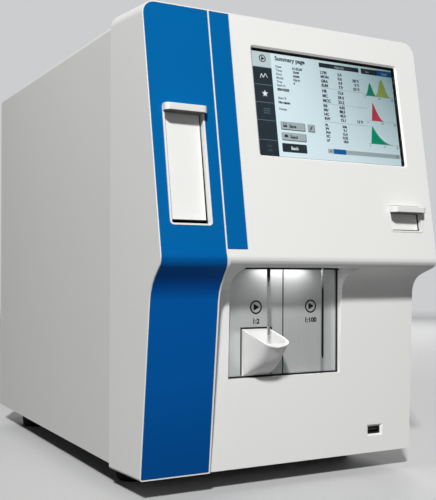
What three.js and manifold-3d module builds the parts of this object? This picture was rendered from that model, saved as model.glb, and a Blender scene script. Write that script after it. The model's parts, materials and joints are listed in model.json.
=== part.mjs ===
// Bench-top blood cell counter, built as separate pieces.
// Millimetres, +Z up, front towards -Y. The origin is on the table, under the middle of the box.
import * as THREE from 'three';
import { mergeVertices } from 'three/addons/utils/BufferGeometryUtils.js';
import Module from 'manifold-3d';

const wasm = await Module();
wasm.setup();

// Overall sizes
const overall = { width: 290, depth: 460, height: 410 };
const fit = 0.3;          // clearance between two pieces that touch
const overrun = 6;        // how far a cutter runs past the wall that it cuts
const arcSteps = 6;       // facets in a quarter turn of an outline
const roundSides = 24;    // facets round a large cylinder
const smallSides = 12;    // facets round a small one
const mergeShare = 0.001;

// The moulded front. Depths run forward from the seam with the housing, insets in from the sides.
// Heights run up from a line that lies faceDrop below the top, so the front's features keep to the
// top. A height above the bezel's own lower edge is named baseHeight.
const bezel = {
  reach: 94.5,
  clearance: 17,
  faceDrop: 393,
  wall: 3,
  topCornerRadius: 12,
  bottomCornerRadius: 2.5,
  rearTopRadius: 9,
  frontTopDepth: 58.6,
  bulgeDepth: 94.9,
  bulgeHeight: 176.7,
  bulgeRadius: 8,
  kneeDepth: 60,
  kneeHeight: 164.4,
  kneeRadius: 19,
  toeDepth: 55.1,
  sideTaperShare: 0.041,
  topTaperShare: 0.045,
  bottomTaperShare: 0.023,
  bossRadius: 5,
  bossInset: 14,
};
// The ridge that carries the lower half of the blue stripe
const ridge = {
  edgeInset: 66.8,
  bulgeHeight: 177.8,
  bulgeRadius: 12,
  kneeDepth: 76,
  kneeHeight: 158,
  kneeRadius: 34,
  toeDepth: 57,
};
const film = { thickness: 1.2, rim: 1.3, cornerRadius: 0.6 };
const blueSide = { upperInset: 62.6, lowerInset: 65.3, jogTop: 186, jogBottom: 164 };
const blueTrim = { leftInset: 64.4, rightInset: 83.1, bottomHeight: 188.8 };

// Touch display
const display = {
  leftInset: 104.7,
  rightInset: 28.7,
  centreHeight: 316.2,
  height: 94.9,
  chamfer: 2.4,
  rebate: 7,
  rebateDepth: 1.5,
  gasket: 0.9,
  glass: 1.8,
  cornerRadius: 1,
};
const lcd = { thickness: 9, margin: 4, ear: 5, earThickness: 2, lug: 6 };
const displayBoard = {
  thickness: 1.6,
  standoff: 5,
  standoffRadius: 3,
  margin: 10,
  chip: 26,
  chipHeight: 3,
  plug: 8,
};

// Tube door and its surround
const door = {
  sideInset: 33.2,
  centreHeight: 256,
  width: 37.6,
  height: 99.4,
  rim: 1.5,
  proud: 0.6,
  surroundDepth: 14,
  cornerRadius: 3,
  gap: 1.3,
  footGap: 4.2,
  panel: 3,
  topRecess: 4,
  footRecess: 5.2,
  lipBottom: 298.6,
  lipTop: 304.2,
  lipDepth: 81.9,
  stemHeight: 3.6,
  pivotDepth: 10.5,
  pivotRise: 8.9,
  barrelRadius: 3.2,
  pinRadius: 1.5,
};
const tubeHolder = {
  radius: 9,
  boreRadius: 6.8,
  footRise: 4.8,
  topHeight: 284,
  floor: 3,
  axisDepth: 57.6,
  web: 8,
};

// Pipette adapter drawer and its surround
const drawer = {
  sideInset: 35,
  centreHeight: 219,
  width: 38,
  height: 24.4,
  rim: 1.5,
  surroundDepth: 12,
  cornerRadius: 3,
  gap: 1.2,
  footGap: 1.7,
  recess: 4.5,
  panel: 3,
  lipBottom: 224.8,
  lipTop: 230,
  lipDepth: 94.5,
  stemHeight: 4,
  trayWidth: 26,
  trayTop: 213,
  trayThickness: 3,
  trayBackDepth: 40,
  shelfWidth: 32,
  shelfThickness: 3.8,
  shelfBackDepth: 34,
  shelfWall: 1.6,
  shelfWallHeight: 5,
};
const lipShape = { halfWidth: 18.8, cornerRadius: 4, edge: 0.6 };
const adapter = {
  radius: 5.5,
  topHeight: 223.6,
  boreRadius: 1.4,
  boreDepth: 8,
  axisDepth: 66,
  foot: 14,
  footHeight: 2,
};

// Sampling alcove
const alcove = {
  leftInset: 85,
  rightInset: 87,
  bottomHeight: 78.6,
  topHeight: 174,
  wall: 3,
  backDepth: 36,
  slotDepth: 54,
};
const plate = {
  faceDepth: 52.5,
  sheet: 1.5,
  seamOffset: -0.1,
  seamGap: 1,
  sideGap: 1,
  footGap: 1.4,
  neckHeight: 178,
  pivotDepth: 46,
  pivotHeight: 184,
  knuckleRadius: 3.2,
  rodRadius: 1.5,
  flange: 6,
  notchGap: 0.7,
};
const alcoveHead = { topHeight: 190, wall: 3 };
const lens = {
  reach: 0.5,
  frontDepth: 66.5,
  backDepth: 57.5,
  drop: 1,
  lip: 2,
  lipHeight: 1.5,
};
const startSwitch = {
  width: 8,
  height: 18,
  depth: 9,
  centreHeight: 140,
  buttonRadius: 1.6,
  leftInset: 14.1,
  rightInset: 12.8,
  buttonTip: 47.6,
};
const cup = {
  offset: 1.4,
  halfWidth: 14.4,
  rootDepth: 51,
  reach: 36,
  bottomHeight: 79.9,
  rimHeight: 120.6,
  lipDip: 4.4,
  wall: 1.6,
  floor: 2.5,
  stemInset: 3.5,
  stemTop: 112,
  sections: 24,
  bottomWidthShare: 0.94,
};
// Rings of the cup from the floor up, as shares of its reach and of its height
const cupRings = [
  { reachShare: 0.111, frontShare: 0.0147, backShare: 0, fullnessShare: 0.8 },
  { reachShare: 0.333, frontShare: 0.0934, backShare: 0.0491, fullnessShare: 0.72 },
  { reachShare: 0.556, frontShare: 0.2162, backShare: 0.1474, fullnessShare: 0.62 },
  { reachShare: 0.722, frontShare: 0.3563, backShare: 0.2948, fullnessShare: 0.54 },
  { reachShare: 0.833, frontShare: 0.4914, backShare: 0.4914, fullnessShare: 0.46 },
  { reachShare: 0.917, frontShare: 0.602, backShare: 0.7371, fullnessShare: 0.38 },
  { reachShare: 1, frontShare: 0.7715, backShare: 1, fullnessShare: 0.28 },
];
// Probes
const probe = {
  depth: 72.5,
  needleRadius: 1,
  sheathRadius: 1.5,
  tipLength: 3,
  collarRadius: 2.6,
  collarHeight: 3,
};
const bloodProbe = { offset: -0.1, tipHeight: 113.6, sheathBottom: 122.6 };
const diluteProbe = { offset: -0.7, tipHeight: 94.4, sheathBottom: 176.5 };
const carriage = {
  width: 16,
  height: 18,
  bottomHeight: 181,
  frontDepth: 78.5,
  backDepth: 64.5,
  grooveDepth: 2.2,
};
const probeRail = {
  thickness: 2.5,
  leftReach: 13,
  rightReach: 12.5,
  topHeight: 258,
  railWidth: 7,
  railReach: 2,
  foot: 9,
};

// Front USB socket and the rear one
const usb = {
  sideInset: 44.8,
  baseHeight: 22,
  width: 13.4,
  shellHeight: 6.2,
  wall: 0.7,
  length: 17,
  recess: 1.2,
  tongueWidth: 10.6,
  tongueThickness: 1.8,
  tongueInset: 1.5,
  flangeWidth: 24,
  flangeHeight: 13,
  flangeThickness: 1.2,
  openingGap: 0.5,
  chamfer: 1.2,
};

// Sheet-metal housing. Setbacks run towards the back from the seam.
const housing = {
  sideGap: 0.5,
  baseHeight: 4.6,
  topHeight: 383.2,
  sheet: 1.5,
  topRadius: 4,
  rearTopRadius: 10,
  frontSetback: 0.5,
  rearFlange: 10,
};
const base = {
  sheet: 2,
  rearInset: 2.5,
  flangeInset: 18.5,
  flangeHeight: 12,
  slotLength: 60,
  slotWidth: 4,
  slotPitch: 12,
  slotCount: 8,
};
const rear = { rearInset: 16, sheet: 1.5, windowMargin: 24 };
const chassis = {
  sheet: 2,
  upperBottom: 206,
  upperTop: 364,
  lowerBase: 40,
  lowerTop: 186,
  sideMargin: 24.7,
  windowRadius: 8,
};
const foot = { radius: 15, topRadius: 17, sideInset: 33, frontSetback: 24, rearInset: 43.5, chamfer: 2 };

// Rear fittings
const fan = {
  sideInset: 81,
  height: 296,
  size: 80,
  depth: 25,
  frameCorner: 5,
  boreRadius: 38,
  hubRadius: 16,
  hubDepth: 17,
  strutWidth: 5,
  strutDepth: 3,
  bladeRadius: 36,
  bladeRootShare: 0.9,
  bladeThickness: 1.6,
  bladeSpan: 13,
  bladeCount: 7,
  bladeTwistDegrees: 38,
  rotorSetIn: 5,
  capGap: 0.6,
};
const guard = {
  wire: 1.1,
  radius: 37,
  ringCount: 4,
  innerRadius: 8,
  spokeCount: 4,
  standoff: 2.2,
  earRadius: 3.2,
};
const inlet = {
  sideInset: 53,
  baseHeight: 62,
  flangeWidth: 40,
  flangeHeight: 62,
  flangeThickness: 2,
  bodyWidth: 29,
  bodyHeight: 48,
  bodyDepth: 28,
  socketWidth: 24,
  socketHeight: 16.5,
  socketDepth: 17,
  socketDrop: 11,
  socketCorner: 4,
  pinWidth: 4,
  pinThickness: 2,
  pinLength: 11,
  pinSpacing: 7,
  pinRise: 2,
  rockerRise: 14,
};
const rocker = {
  width: 20,
  height: 11,
  gap: 0.5,
  depth: 8,
  tiltDegrees: 8,
  pivotDepth: 3.5,
  crest: 1.6,
};
const port = {
  baseHeight: 70,
  flangeRadius: 9,
  flange: 2,
  nutRadius: 7.5,
  nut: 3,
  barbRadius: 4,
  neckRadius: 2.6,
  barb: 4,
};
const ports = {
  firstInset: 111,
  spacing: 26,
  tailLength: 16,
  tailRadius: 4.5,
  boreRadius: 1.2,
  boreDepth: 6,
};

// Inner pieces
const fluidics = { sideInset: 117, sheet: 2, frontSetback: 14, rearInset: 47.5, topHeight: 288, foot: 18 };
const shear = {
  setback: 62,
  height: 176,
  side: 50,
  depth: 30,
  discRadius: 21,
  discThickness: 9,
  arm: 12,
  armWidth: 8,
};
const chamber = {
  side: 32,
  height: 54,
  boreRadius: 11,
  boreDepth: 44,
  bottomHeight: 150,
  firstSetback: 118,
  spacing: 44,
};
const tubes = {
  setback: 210,
  bottomHeight: 120,
  width: 46,
  depth: 20,
  blockHeight: 16,
  length: 96,
  radius: 5,
  spacing: 22,
};
const pump = {
  behindMiddle: 53.25,
  sideInset: 59,
  radius: 26,
  length: 74,
  headSide: 58,
  headDepth: 26,
  foot: 4,
  footWidth: 66,
};
const liquidPump = {
  beforeMiddle: 62.75,
  sideInset: 59,
  radius: 18,
  length: 58,
  headRadius: 30,
  headDepth: 22,
  foot: 4,
  footWidth: 52,
};
const valves = {
  count: 5,
  pitch: 26,
  firstSetback: 106,
  height: 92,
  coilRadius: 8,
  coilLength: 30,
  bar: 16,
  barThickness: 8,
};
const supply = {
  sideInset: 49,
  rearInset: 189.5,
  width: 74,
  height: 88,
  length: 150,
  slotCount: 9,
  slotWidth: 3,
  slotPitch: 9,
  wall: 4,
};
const board = {
  standoff: 6,
  thickness: 1.6,
  setback: 44,
  rearInset: 101.5,
  bottomHeight: 118,
  height: 150,
  standoffRadius: 3,
};
const boardParts = {
  chip: 30,
  chipHeight: 3,
  canRadius: 8,
  canHeight: 18,
  plugLength: 60,
  plugWidth: 9,
  plugHeight: 11,
};

// Places worked out from the sizes above
const seamY = bezel.reach - overall.depth / 2;
const forward = (depth) => seamY - depth;
const back = (setback) => seamY + setback;
const up = (height) => overall.height - bezel.faceDrop + height;
const onBase = (height) => bezel.clearance + height;
const fromLeft = (inset) => inset - overall.width / 2;
const fromRight = (inset) => overall.width / 2 - inset;
const frontTopHeight = bezel.faceDrop - bezel.topTaperShare * bezel.frontTopDepth;
const slope = (bezel.bulgeDepth - bezel.frontTopDepth) / (frontTopHeight - bezel.bulgeHeight);
const tilt = Math.atan(slope);
const frontDepth = (height) => bezel.frontTopDepth + (frontTopHeight - height) * slope;

// Sideways places: each piece keeps to its own side, and the probes to the middles of their plates
ridge.edgeX = fromLeft(ridge.edgeInset);
blueSide.upperX = fromLeft(blueSide.upperInset);
blueSide.lowerX = fromLeft(blueSide.lowerInset);
blueTrim.leftX = fromLeft(blueTrim.leftInset);
blueTrim.rightX = fromLeft(blueTrim.rightInset);
display.width = overall.width - display.leftInset - display.rightInset;
display.centreX = fromRight(display.rightInset) - display.width / 2;
door.centreX = fromLeft(door.sideInset);
drawer.centreX = fromRight(drawer.sideInset);
alcove.leftX = fromLeft(alcove.leftInset);
alcove.rightX = fromRight(alcove.rightInset);
plate.seamX = (alcove.leftX + alcove.rightX) / 2 + plate.seamOffset;
const plateEdges = {
  left: alcove.leftX + plate.sideGap,
  seamLeft: plate.seamX - plate.seamGap / 2,
  seamRight: plate.seamX + plate.seamGap / 2,
  right: alcove.rightX - plate.sideGap,
};
cup.centreX = (plateEdges.left + plateEdges.seamLeft) / 2 + cup.offset;
bloodProbe.x = cup.centreX + bloodProbe.offset;
diluteProbe.x = (plateEdges.seamRight + plateEdges.right) / 2 + diluteProbe.offset;
lens.leftX = bloodProbe.x;
lens.rightX = diluteProbe.x + lens.reach;
probeRail.leftX = bloodProbe.x - probeRail.leftReach;
probeRail.rightX = diluteProbe.x + probeRail.rightReach;
usb.x = fromRight(usb.sideInset);
foot.x = fromRight(foot.sideInset);
fan.x = fromRight(fan.sideInset);
inlet.x = fromLeft(inlet.sideInset);
ports.firstX = fromLeft(ports.firstInset);
fluidics.x = fromRight(fluidics.sideInset);
pump.x = fromLeft(pump.sideInset);
liquidPump.x = fromLeft(liquidPump.sideInset);
supply.x = fromRight(supply.sideInset);

// Setbacks of what keeps to the rear, or to the middle of the housing
const fromRear = (inset) => overall.depth - bezel.reach - inset;
rear.setback = fromRear(rear.rearInset);
base.rearSetback = fromRear(base.rearInset);
base.flangeSetback = fromRear(base.flangeInset);
foot.rearSetback = fromRear(foot.rearInset);
fluidics.rearSetback = fromRear(fluidics.rearInset);
supply.setback = fromRear(supply.rearInset);
const middleSetback = fromRear(0) / 2;
pump.setback = middleSetback + pump.behindMiddle;
liquidPump.setback = middleSetback - liquidPump.beforeMiddle;
board.length = fromRear(board.rearInset) - board.setback;

// Outlines

// Moves every edge of a counter-clockwise outline inwards. A corner is [across, along, radius].
function inset(corners, distance) {
  const count = corners.length;
  const shifted = corners.map(([a, b], i) => {
    const [c, d] = corners[(i + 1) % count];
    const length = Math.hypot(c - a, d - b);
    const across = -(d - b) / length;
    const along = (c - a) / length;
    return { a: a + across * distance, b: b + along * distance, u: (c - a) / length, v: (d - b) / length };
  });
  return corners.map(([, , radius], i) => {
    const before = shifted[(i + count - 1) % count];
    const after = shifted[i];
    const turn = before.u * after.v - before.v * after.u;
    const reach = ((after.a - before.a) * after.v - (after.b - before.b) * after.u) / turn;
    const grown = turn > 0 ? Math.max(radius - distance, 0) : radius + distance;
    return [before.a + before.u * reach, before.b + before.v * reach, radius > 0 ? grown : 0];
  });
}

// Rounds the corners of an outline and returns it as a shape.
function rounded(corners) {
  const count = corners.length;
  const points = [];
  corners.forEach(([a, b, radius], i) => {
    const [pa, pb] = corners[(i + count - 1) % count];
    const [na, nb] = corners[(i + 1) % count];
    const into = new THREE.Vector2(pa - a, pb - b).normalize();
    const out = new THREE.Vector2(na - a, nb - b).normalize();
    const angle = Math.acos(THREE.MathUtils.clamp(into.dot(out), -1, 1));
    if (!(radius > 0) || Math.PI - angle < mergeShare) {
      points.push(new THREE.Vector2(a, b));
      return;
    }
    const tangent = radius / Math.tan(angle / 2);
    const middle = into.clone().add(out).normalize().multiplyScalar(radius / Math.sin(angle / 2));
    const centre = new THREE.Vector2(a, b).add(middle);
    const start = new THREE.Vector2(a, b).addScaledVector(into, tangent).sub(centre);
    const sweep = Math.sign(into.x * out.y - into.y * out.x) * -(Math.PI - angle);
    const steps = Math.max(1, Math.ceil((arcSteps * Math.abs(sweep)) / (Math.PI / 2)));
    for (let k = 0; k <= steps; k += 1) {
      points.push(start.clone().rotateAround(new THREE.Vector2(0, 0), (sweep * k) / steps).add(centre));
    }
  });
  return new THREE.Shape(points);
}

const rectangle = (a0, a1, b0, b1, radius = 0) => (
  [[a0, b0, radius], [a1, b0, radius], [a1, b1, radius], [a0, b1, radius]]
);

// Solids

function solid(geometry) {
  const bare = new THREE.BufferGeometry();
  bare.setAttribute('position', geometry.getAttribute('position').clone());
  if (geometry.index) bare.setIndex(geometry.index.clone());
  const merged = mergeVertices(bare, mergeShare);
  const vertProperties = new Float32Array(merged.getAttribute('position').array);
  const triVerts = new Uint32Array(merged.index.array);
  return new wasm.Manifold(new wasm.Mesh({ numProp: 3, vertProperties, triVerts }));
}

function geometryOf(body) {
  const { vertProperties, triVerts } = body.getMesh();
  const geometry = new THREE.BufferGeometry();
  geometry.setAttribute('position', new THREE.BufferAttribute(new Float32Array(vertProperties), 3));
  geometry.setIndex(new THREE.BufferAttribute(new Uint32Array(triVerts), 1));
  return geometry;
}

const join = (...bodies) => bodies.reduce((all, body) => all.add(body));
const cut = (body, ...cutters) => cutters.reduce((left, cutter) => left.subtract(cutter), body);

function extruded(shape, length, xAxis, yAxis, zAxis, origin) {
  const settings = { depth: length, bevelEnabled: false, curveSegments: arcSteps };
  const geometry = new THREE.ExtrudeGeometry(shape, settings);
  geometry.applyMatrix4(new THREE.Matrix4().makeBasis(xAxis, yAxis, zAxis).setPosition(origin));
  return solid(geometry);
}

const axisX = new THREE.Vector3(1, 0, 0);
const axisY = new THREE.Vector3(0, 1, 0);
const axisZ = new THREE.Vector3(0, 0, 1);
const axisFront = new THREE.Vector3(0, -1, 0);

// A shape drawn in (y, z), (x, z) or (x, y) and run along the axis that is left.
const alongX = (shape, x0, x1) => (
  extruded(shape, x1 - x0, axisY, axisZ, axisX, new THREE.Vector3(x0, 0, 0))
);
const alongY = (shape, y0, y1) => (
  extruded(shape, y1 - y0, axisX, axisZ, axisFront, new THREE.Vector3(0, y1, 0))
);
const alongZ = (shape, z0, z1) => (
  extruded(shape, z1 - z0, axisX, axisY, axisZ, new THREE.Vector3(0, 0, z0))
);

function block(x0, x1, y0, y1, z0, z1) {
  const geometry = new THREE.BoxGeometry(x1 - x0, y1 - y0, z1 - z0);
  geometry.translate((x0 + x1) / 2, (y0 + y1) / 2, (z0 + z1) / 2);
  return solid(geometry);
}

function circle(a, b, radius, sides = smallSides) {
  const points = [];
  for (let k = 0; k < sides; k += 1) {
    const angle = (2 * Math.PI * k) / sides;
    points.push(new THREE.Vector2(a + radius * Math.cos(angle), b + radius * Math.sin(angle)));
  }
  return new THREE.Shape(points);
}

const rodX = (radius, y, z, x0, x1, sides) => alongX(circle(y, z, radius, sides), x0, x1);
const rodY = (radius, x, z, y0, y1, sides) => alongY(circle(x, z, radius, sides), y0, y1);
const rodZ = (radius, x, y, z0, z1, sides) => alongZ(circle(x, y, radius, sides), z0, z1);

// A closed body through rings of points, capped flat at both ends. The caps are drawn in the given plane.
function loft(rings, flat) {
  const count = rings[0].length;
  const positions = rings.flat().flatMap((point) => [point.x, point.y, point.z]);
  const faces = [];
  for (let r = 0; r < rings.length - 1; r += 1) {
    for (let k = 0; k < count; k += 1) {
      const a = r * count + k;
      const b = r * count + ((k + 1) % count);
      faces.push([a, b, b + count], [a, b + count, a + count]);
    }
  }
  const last = (rings.length - 1) * count;
  const outline = rings[0].map(flat);
  const turned = THREE.ShapeUtils.isClockWise(outline);
  THREE.ShapeUtils.triangulateShape(outline, []).forEach((corners) => {
    const [a, b, c] = turned ? [...corners].reverse() : corners;
    faces.push([c, b, a], [last + a, last + b, last + c]);
  });
  const point = (k) => new THREE.Vector3().fromArray(positions, 3 * k);
  const volume = faces.reduce((sum, [a, b, c]) => sum + point(a).dot(point(b).cross(point(c))), 0);
  const geometry = new THREE.BufferGeometry();
  geometry.setAttribute('position', new THREE.Float32BufferAttribute(positions, 3));
  geometry.setIndex(faces.flatMap((face) => (volume > 0 ? face : [...face].reverse())));
  return solid(geometry);
}

// The group that everything is placed in, and the frames that lie on the tilted front.
const counter = new THREE.Group();
counter.name = 'blood_cell_counter';

function tiltedMatrix(x, height) {
  const matrix = new THREE.Matrix4().makeRotationX(-tilt);
  return matrix.setPosition(x, forward(frontDepth(height)), up(height));
}

function tiltedGroup(x, height) {
  const group = new THREE.Group();
  group.position.set(x, forward(frontDepth(height)), up(height));
  group.rotation.x = -tilt;
  counter.add(group);
  return group;
}

function moved(body, matrix) {
  const geometry = geometryOf(body);
  geometry.applyMatrix4(matrix);
  return solid(geometry);
}

const finish = (color, roughness, metalness) => (
  new THREE.MeshStandardMaterial({ color, roughness, metalness })
);
const white = finish(0xe9ebea, 0.42, 0);
const housingWhite = finish(0xdcdddb, 0.5, 0);
const blue = finish(0x0064aa, 0.35, 0);
const steel = finish(0xa9b0b0, 0.32, 1);
const zinc = finish(0xb4b8ba, 0.45, 1);
const black = finish(0x17181a, 0.5, 0);
const rubber = finish(0x141414, 0.85, 0);
const glass = finish(0x1b2226, 0.08, 0);
const green = finish(0x1f5c3a, 0.55, 0);
const clear = finish(0xcfd9dc, 0.12, 0);
const grey = finish(0x8b9094, 0.5, 0);
const lampWhite = finish(0xf4f8ff, 0.3, 0);

function add(name, body, material, parent = counter) {
  const mesh = new THREE.Mesh(geometryOf(body), material);
  mesh.name = name;
  parent.add(mesh);
}

// Front bezel

function whiteProfile(distance, rearY) {
  const corners = [
    [forward(bezel.toeDepth), -overrun, 0],
    [rearY, -overrun, 0],
    [rearY, overall.height, bezel.rearTopRadius],
    [forward(frontDepth(bezel.faceDrop)), overall.height, 0],
    [forward(bezel.bulgeDepth), up(bezel.bulgeHeight), bezel.bulgeRadius],
    [forward(bezel.kneeDepth), up(bezel.kneeHeight), bezel.kneeRadius],
  ];
  return rounded(inset(corners, distance));
}

function ridgeProfile(distance, rearY) {
  const corners = [
    [forward(ridge.toeDepth), -overrun, 0],
    [rearY, -overrun, 0],
    [rearY, overall.height, bezel.rearTopRadius],
    [forward(frontDepth(bezel.faceDrop)), overall.height, 0],
    [forward(frontDepth(ridge.bulgeHeight)), up(ridge.bulgeHeight), ridge.bulgeRadius],
    [forward(ridge.kneeDepth), up(ridge.kneeHeight), ridge.kneeRadius],
  ];
  return rounded(inset(corners, distance));
}

// Ring of the tapered envelope at one depth
function envelopeRing(depth, distance) {
  const half = overall.width / 2 - bezel.sideTaperShare * depth - distance;
  const bottom = onBase(bezel.bottomTaperShare * depth) + distance;
  const top = up(bezel.faceDrop - bezel.topTaperShare * depth) - distance;
  const lower = Math.max(bezel.bottomCornerRadius - distance, bezel.bottomCornerRadius / arcSteps);
  const upper = Math.max(bezel.topCornerRadius - distance, bezel.bottomCornerRadius);
  const corners = [[-half, bottom, lower], [half, bottom, lower], [half, top, upper], [-half, top, upper]];
  return rounded(corners).getPoints().map((point) => new THREE.Vector3(point.x, forward(depth), point.y));
}

// The bezel's full form, drawn in by a distance. An open one runs out past the seam.
function bezelForm(distance, open = false) {
  const rearY = open ? seamY + distance + overrun : seamY;
  const half = overall.width / 2;
  const profiles = join(
    alongX(whiteProfile(distance, rearY), -half, half),
    alongX(ridgeProfile(distance, rearY), -half, ridge.edgeX - distance),
  );
  const rings = [envelopeRing(-overrun * 2, distance), envelopeRing(bezel.bulgeDepth + overrun, distance)];
  return profiles.intersect(loft(rings, (point) => new THREE.Vector2(point.x, point.z)));
}

// Below its rounded rear edge the bezel is open at the seam
const bezelOuter = bezelForm(0);
const seamOpening = block(
  -overall.width, overall.width, forward(overall.depth), back(overall.depth),
  -overrun, up(bezel.faceDrop - bezel.rearTopRadius - bezel.wall),
);
const bezelInner = join(bezelForm(bezel.wall), bezelForm(bezel.wall, true).intersect(seamOpening));
const innerFit = bezelForm(bezel.wall + fit, true);

// A cutter straight through the front, from its outline in (x, z)
const throughFront = (corners) => alongY(rounded(corners), forward(bezel.bulgeDepth + overrun), seamY);

// The films end a narrow rim short of the bezel's outer edges
function frontWithinRim(growth) {
  const depths = [-2 * overrun, bezel.bulgeDepth + overrun];
  const rings = depths.map((depth) => envelopeRing(depth, film.rim - growth));
  return loft(rings, (point) => new THREE.Vector2(point.x, point.z));
}

function sidePanelOutline(growth) {
  const lowerX = blueSide.lowerX + growth;
  const upperX = blueSide.upperX + growth;
  return throughFront([
    [-overall.width, -overrun, 0], [lowerX, -overrun, 0],
    [lowerX, up(blueSide.jogBottom), overrun], [upperX, up(blueSide.jogTop), overrun],
    [upperX, overall.height, 0], [-overall.width, overall.height, 0],
  ]).intersect(frontWithinRim(growth));
}

function trimOutline(growth) {
  const left = blueTrim.leftX - growth;
  const right = blueTrim.rightX + growth;
  const bottom = up(blueTrim.bottomHeight) - growth;
  const corners = [
    [left, bottom, film.cornerRadius], [right, bottom, film.cornerRadius],
    [right, overall.height, 0], [left, overall.height, 0],
  ];
  return throughFront(corners).intersect(frontWithinRim(growth));
}

const filmSkin = bezelOuter.subtract(bezelForm(film.thickness, true));
const filmRecess = bezelForm(film.thickness + fit, true);
const recesses = join(sidePanelOutline(fit), trimOutline(fit)).subtract(filmRecess);

// Cutters that lie on the tilted front, in its own frame: outwards is -y, up the slope is z
function surroundCutter(sizes) {
  const half = { x: sizes.width / 2 + fit, z: sizes.height / 2 + fit };
  const outline = rounded(rectangle(-half.x, half.x, -half.z, half.z, sizes.cornerRadius + fit));
  const hole = alongY(outline, -overrun, sizes.surroundDepth + overrun);
  return moved(hole, tiltedMatrix(sizes.centreX, sizes.centreHeight));
}

function displayRing(growth, y) {
  const half = { x: display.width / 2 + growth, z: display.height / 2 + growth };
  const corners = rectangle(-half.x, half.x, -half.z, half.z, display.cornerRadius + growth);
  return rounded(corners).getPoints().map((point) => new THREE.Vector3(point.x, y, point.y));
}

function displayCutter() {
  const across = (point) => new THREE.Vector2(point.x, point.z);
  const shoulder = bezel.wall - display.rebateDepth;
  const window = loft([
    displayRing(display.chamfer * 2, -display.chamfer),
    displayRing(0, display.chamfer - fit),
    displayRing(0, bezel.wall + overrun),
  ], across);
  const rebateRings = [shoulder, bezel.wall + overrun].map((depth) => displayRing(display.rebate, depth));
  const rebate = loft(rebateRings, across);
  return moved(join(window, rebate), tiltedMatrix(display.centreX, display.centreHeight));
}

const kneeRise = up(bezel.kneeHeight) - bezel.clearance;
const usbDepth = THREE.MathUtils.lerp(bezel.toeDepth, bezel.kneeDepth, usb.baseHeight / kneeRise);

function usbCutter() {
  const ring = (growth, depth) => {
    const grown = usb.openingGap + growth;
    const half = { x: usb.width / 2 + grown, z: usb.shellHeight / 2 + grown };
    const z = onBase(usb.baseHeight);
    const corners = rectangle(usb.x - half.x, usb.x + half.x, z - half.z, z + half.z);
    return rounded(corners).getPoints().map((point) => new THREE.Vector3(point.x, forward(depth), point.y));
  };
  const rings = [
    ring(usb.chamfer * 2, usbDepth + usb.chamfer),
    ring(0, usbDepth - usb.chamfer),
    ring(0, usbDepth - bezel.wall - overrun),
  ];
  return loft(rings, (point) => new THREE.Vector2(point.x, point.z));
}

const alcoveCutter = block(
  alcove.leftX, alcove.rightX, forward(bezel.bulgeDepth + overrun), forward(alcove.backDepth),
  up(alcove.bottomHeight), up(alcove.topHeight),
);

function bezelBosses() {
  const x = overall.width / 2 - bezel.bossInset;
  const levels = [onBase(bezel.bossInset), overall.height - bezel.bossInset];
  const bosses = [-x, x].flatMap((side) => levels.map((z) => (
    rodY(bezel.bossRadius, side, z, forward(bezel.bulgeDepth), seamY)
  )));
  return join(...bosses).intersect(bezelForm(bezel.wall / 2));
}

function frontBezel() {
  const shell = join(bezelOuter.subtract(bezelInner), bezelBosses());
  return cut(
    shell, recesses, surroundCutter(door), surroundCutter(drawer),
    displayCutter(), alcoveCutter, usbCutter(),
  );
}

add('front_bezel', frontBezel(), white);
const sidePanel = sidePanelOutline(0).intersect(filmSkin);
add('blue_side_panel', sidePanel.subtract(surroundCutter(door)), blue);
add('blue_trim_strip', trimOutline(0).intersect(filmSkin), blue);

// Touch display, from the glass back to its board

const displayGroup = tiltedGroup(display.centreX, display.centreHeight);
const gasketFront = bezel.wall - display.rebateDepth + fit;
const glassFront = gasketFront + display.gasket + fit;
const lcdFront = glassFront + display.glass + fit;

function displaySlab(growth, y0, y1) {
  const half = { x: display.width / 2 + growth, z: display.height / 2 + growth };
  const radius = display.cornerRadius + Math.max(growth, 0);
  return alongY(rounded(rectangle(-half.x, half.x, -half.z, half.z, radius)), y0, y1);
}

function displayGasket() {
  const outer = displaySlab(display.rebate - fit, gasketFront, gasketFront + display.gasket);
  return outer.subtract(displaySlab(fit, gasketFront - overrun, gasketFront + overrun));
}

function lcdModule() {
  const body = displaySlab(lcd.margin, lcdFront, lcdFront + lcd.thickness);
  const bodyBack = lcdFront + lcd.thickness;
  const hollow = displaySlab(-lcd.margin, bodyBack - lcd.earThickness, bodyBack + overrun);
  const ears = [-1, 1].flatMap((side) => [-1, 1].map((end) => {
    const x = side * (display.width / 2 + lcd.margin);
    const z = end * (display.height / 2 - lcd.lug);
    const reach = side * lcd.ear;
    const low = Math.min(x - side, x + reach);
    const high = Math.max(x - side, x + reach);
    return block(low, high, lcdFront, lcdFront + lcd.earThickness, z - lcd.lug, z + lcd.lug);
  }));
  return join(body.subtract(hollow), ...ears);
}

function displayBoardBody() {
  const front = lcdFront + lcd.thickness + displayBoard.standoff;
  const plateBody = displaySlab(-displayBoard.margin, front, front + displayBoard.thickness);
  const rear = front + displayBoard.thickness;
  const x = display.width / 2 - displayBoard.margin - displayBoard.standoffRadius;
  const z = display.height / 2 - displayBoard.margin - displayBoard.standoffRadius;
  const legs = [-x, x].flatMap((a) => [-z, z].map((b) => (
    rodY(displayBoard.standoffRadius, a, b, lcdFront + lcd.thickness - lcd.earThickness + fit, front + fit)
  )));
  const half = displayBoard.chip / 2;
  const chip = block(-half, half, rear - fit, rear + displayBoard.chipHeight, -half, half);
  const plug = block(
    -x, -x + displayBoard.chip, rear - fit, rear + displayBoard.plug, -z, -z + displayBoard.plug,
  );
  const memoryTop = rear + displayBoard.chipHeight / 2;
  const memory = block(displayBoard.chip, displayBoard.chip + half, rear - fit, memoryTop, 0, half);
  return join(plateBody, ...legs, chip, plug, memory);
}

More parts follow.
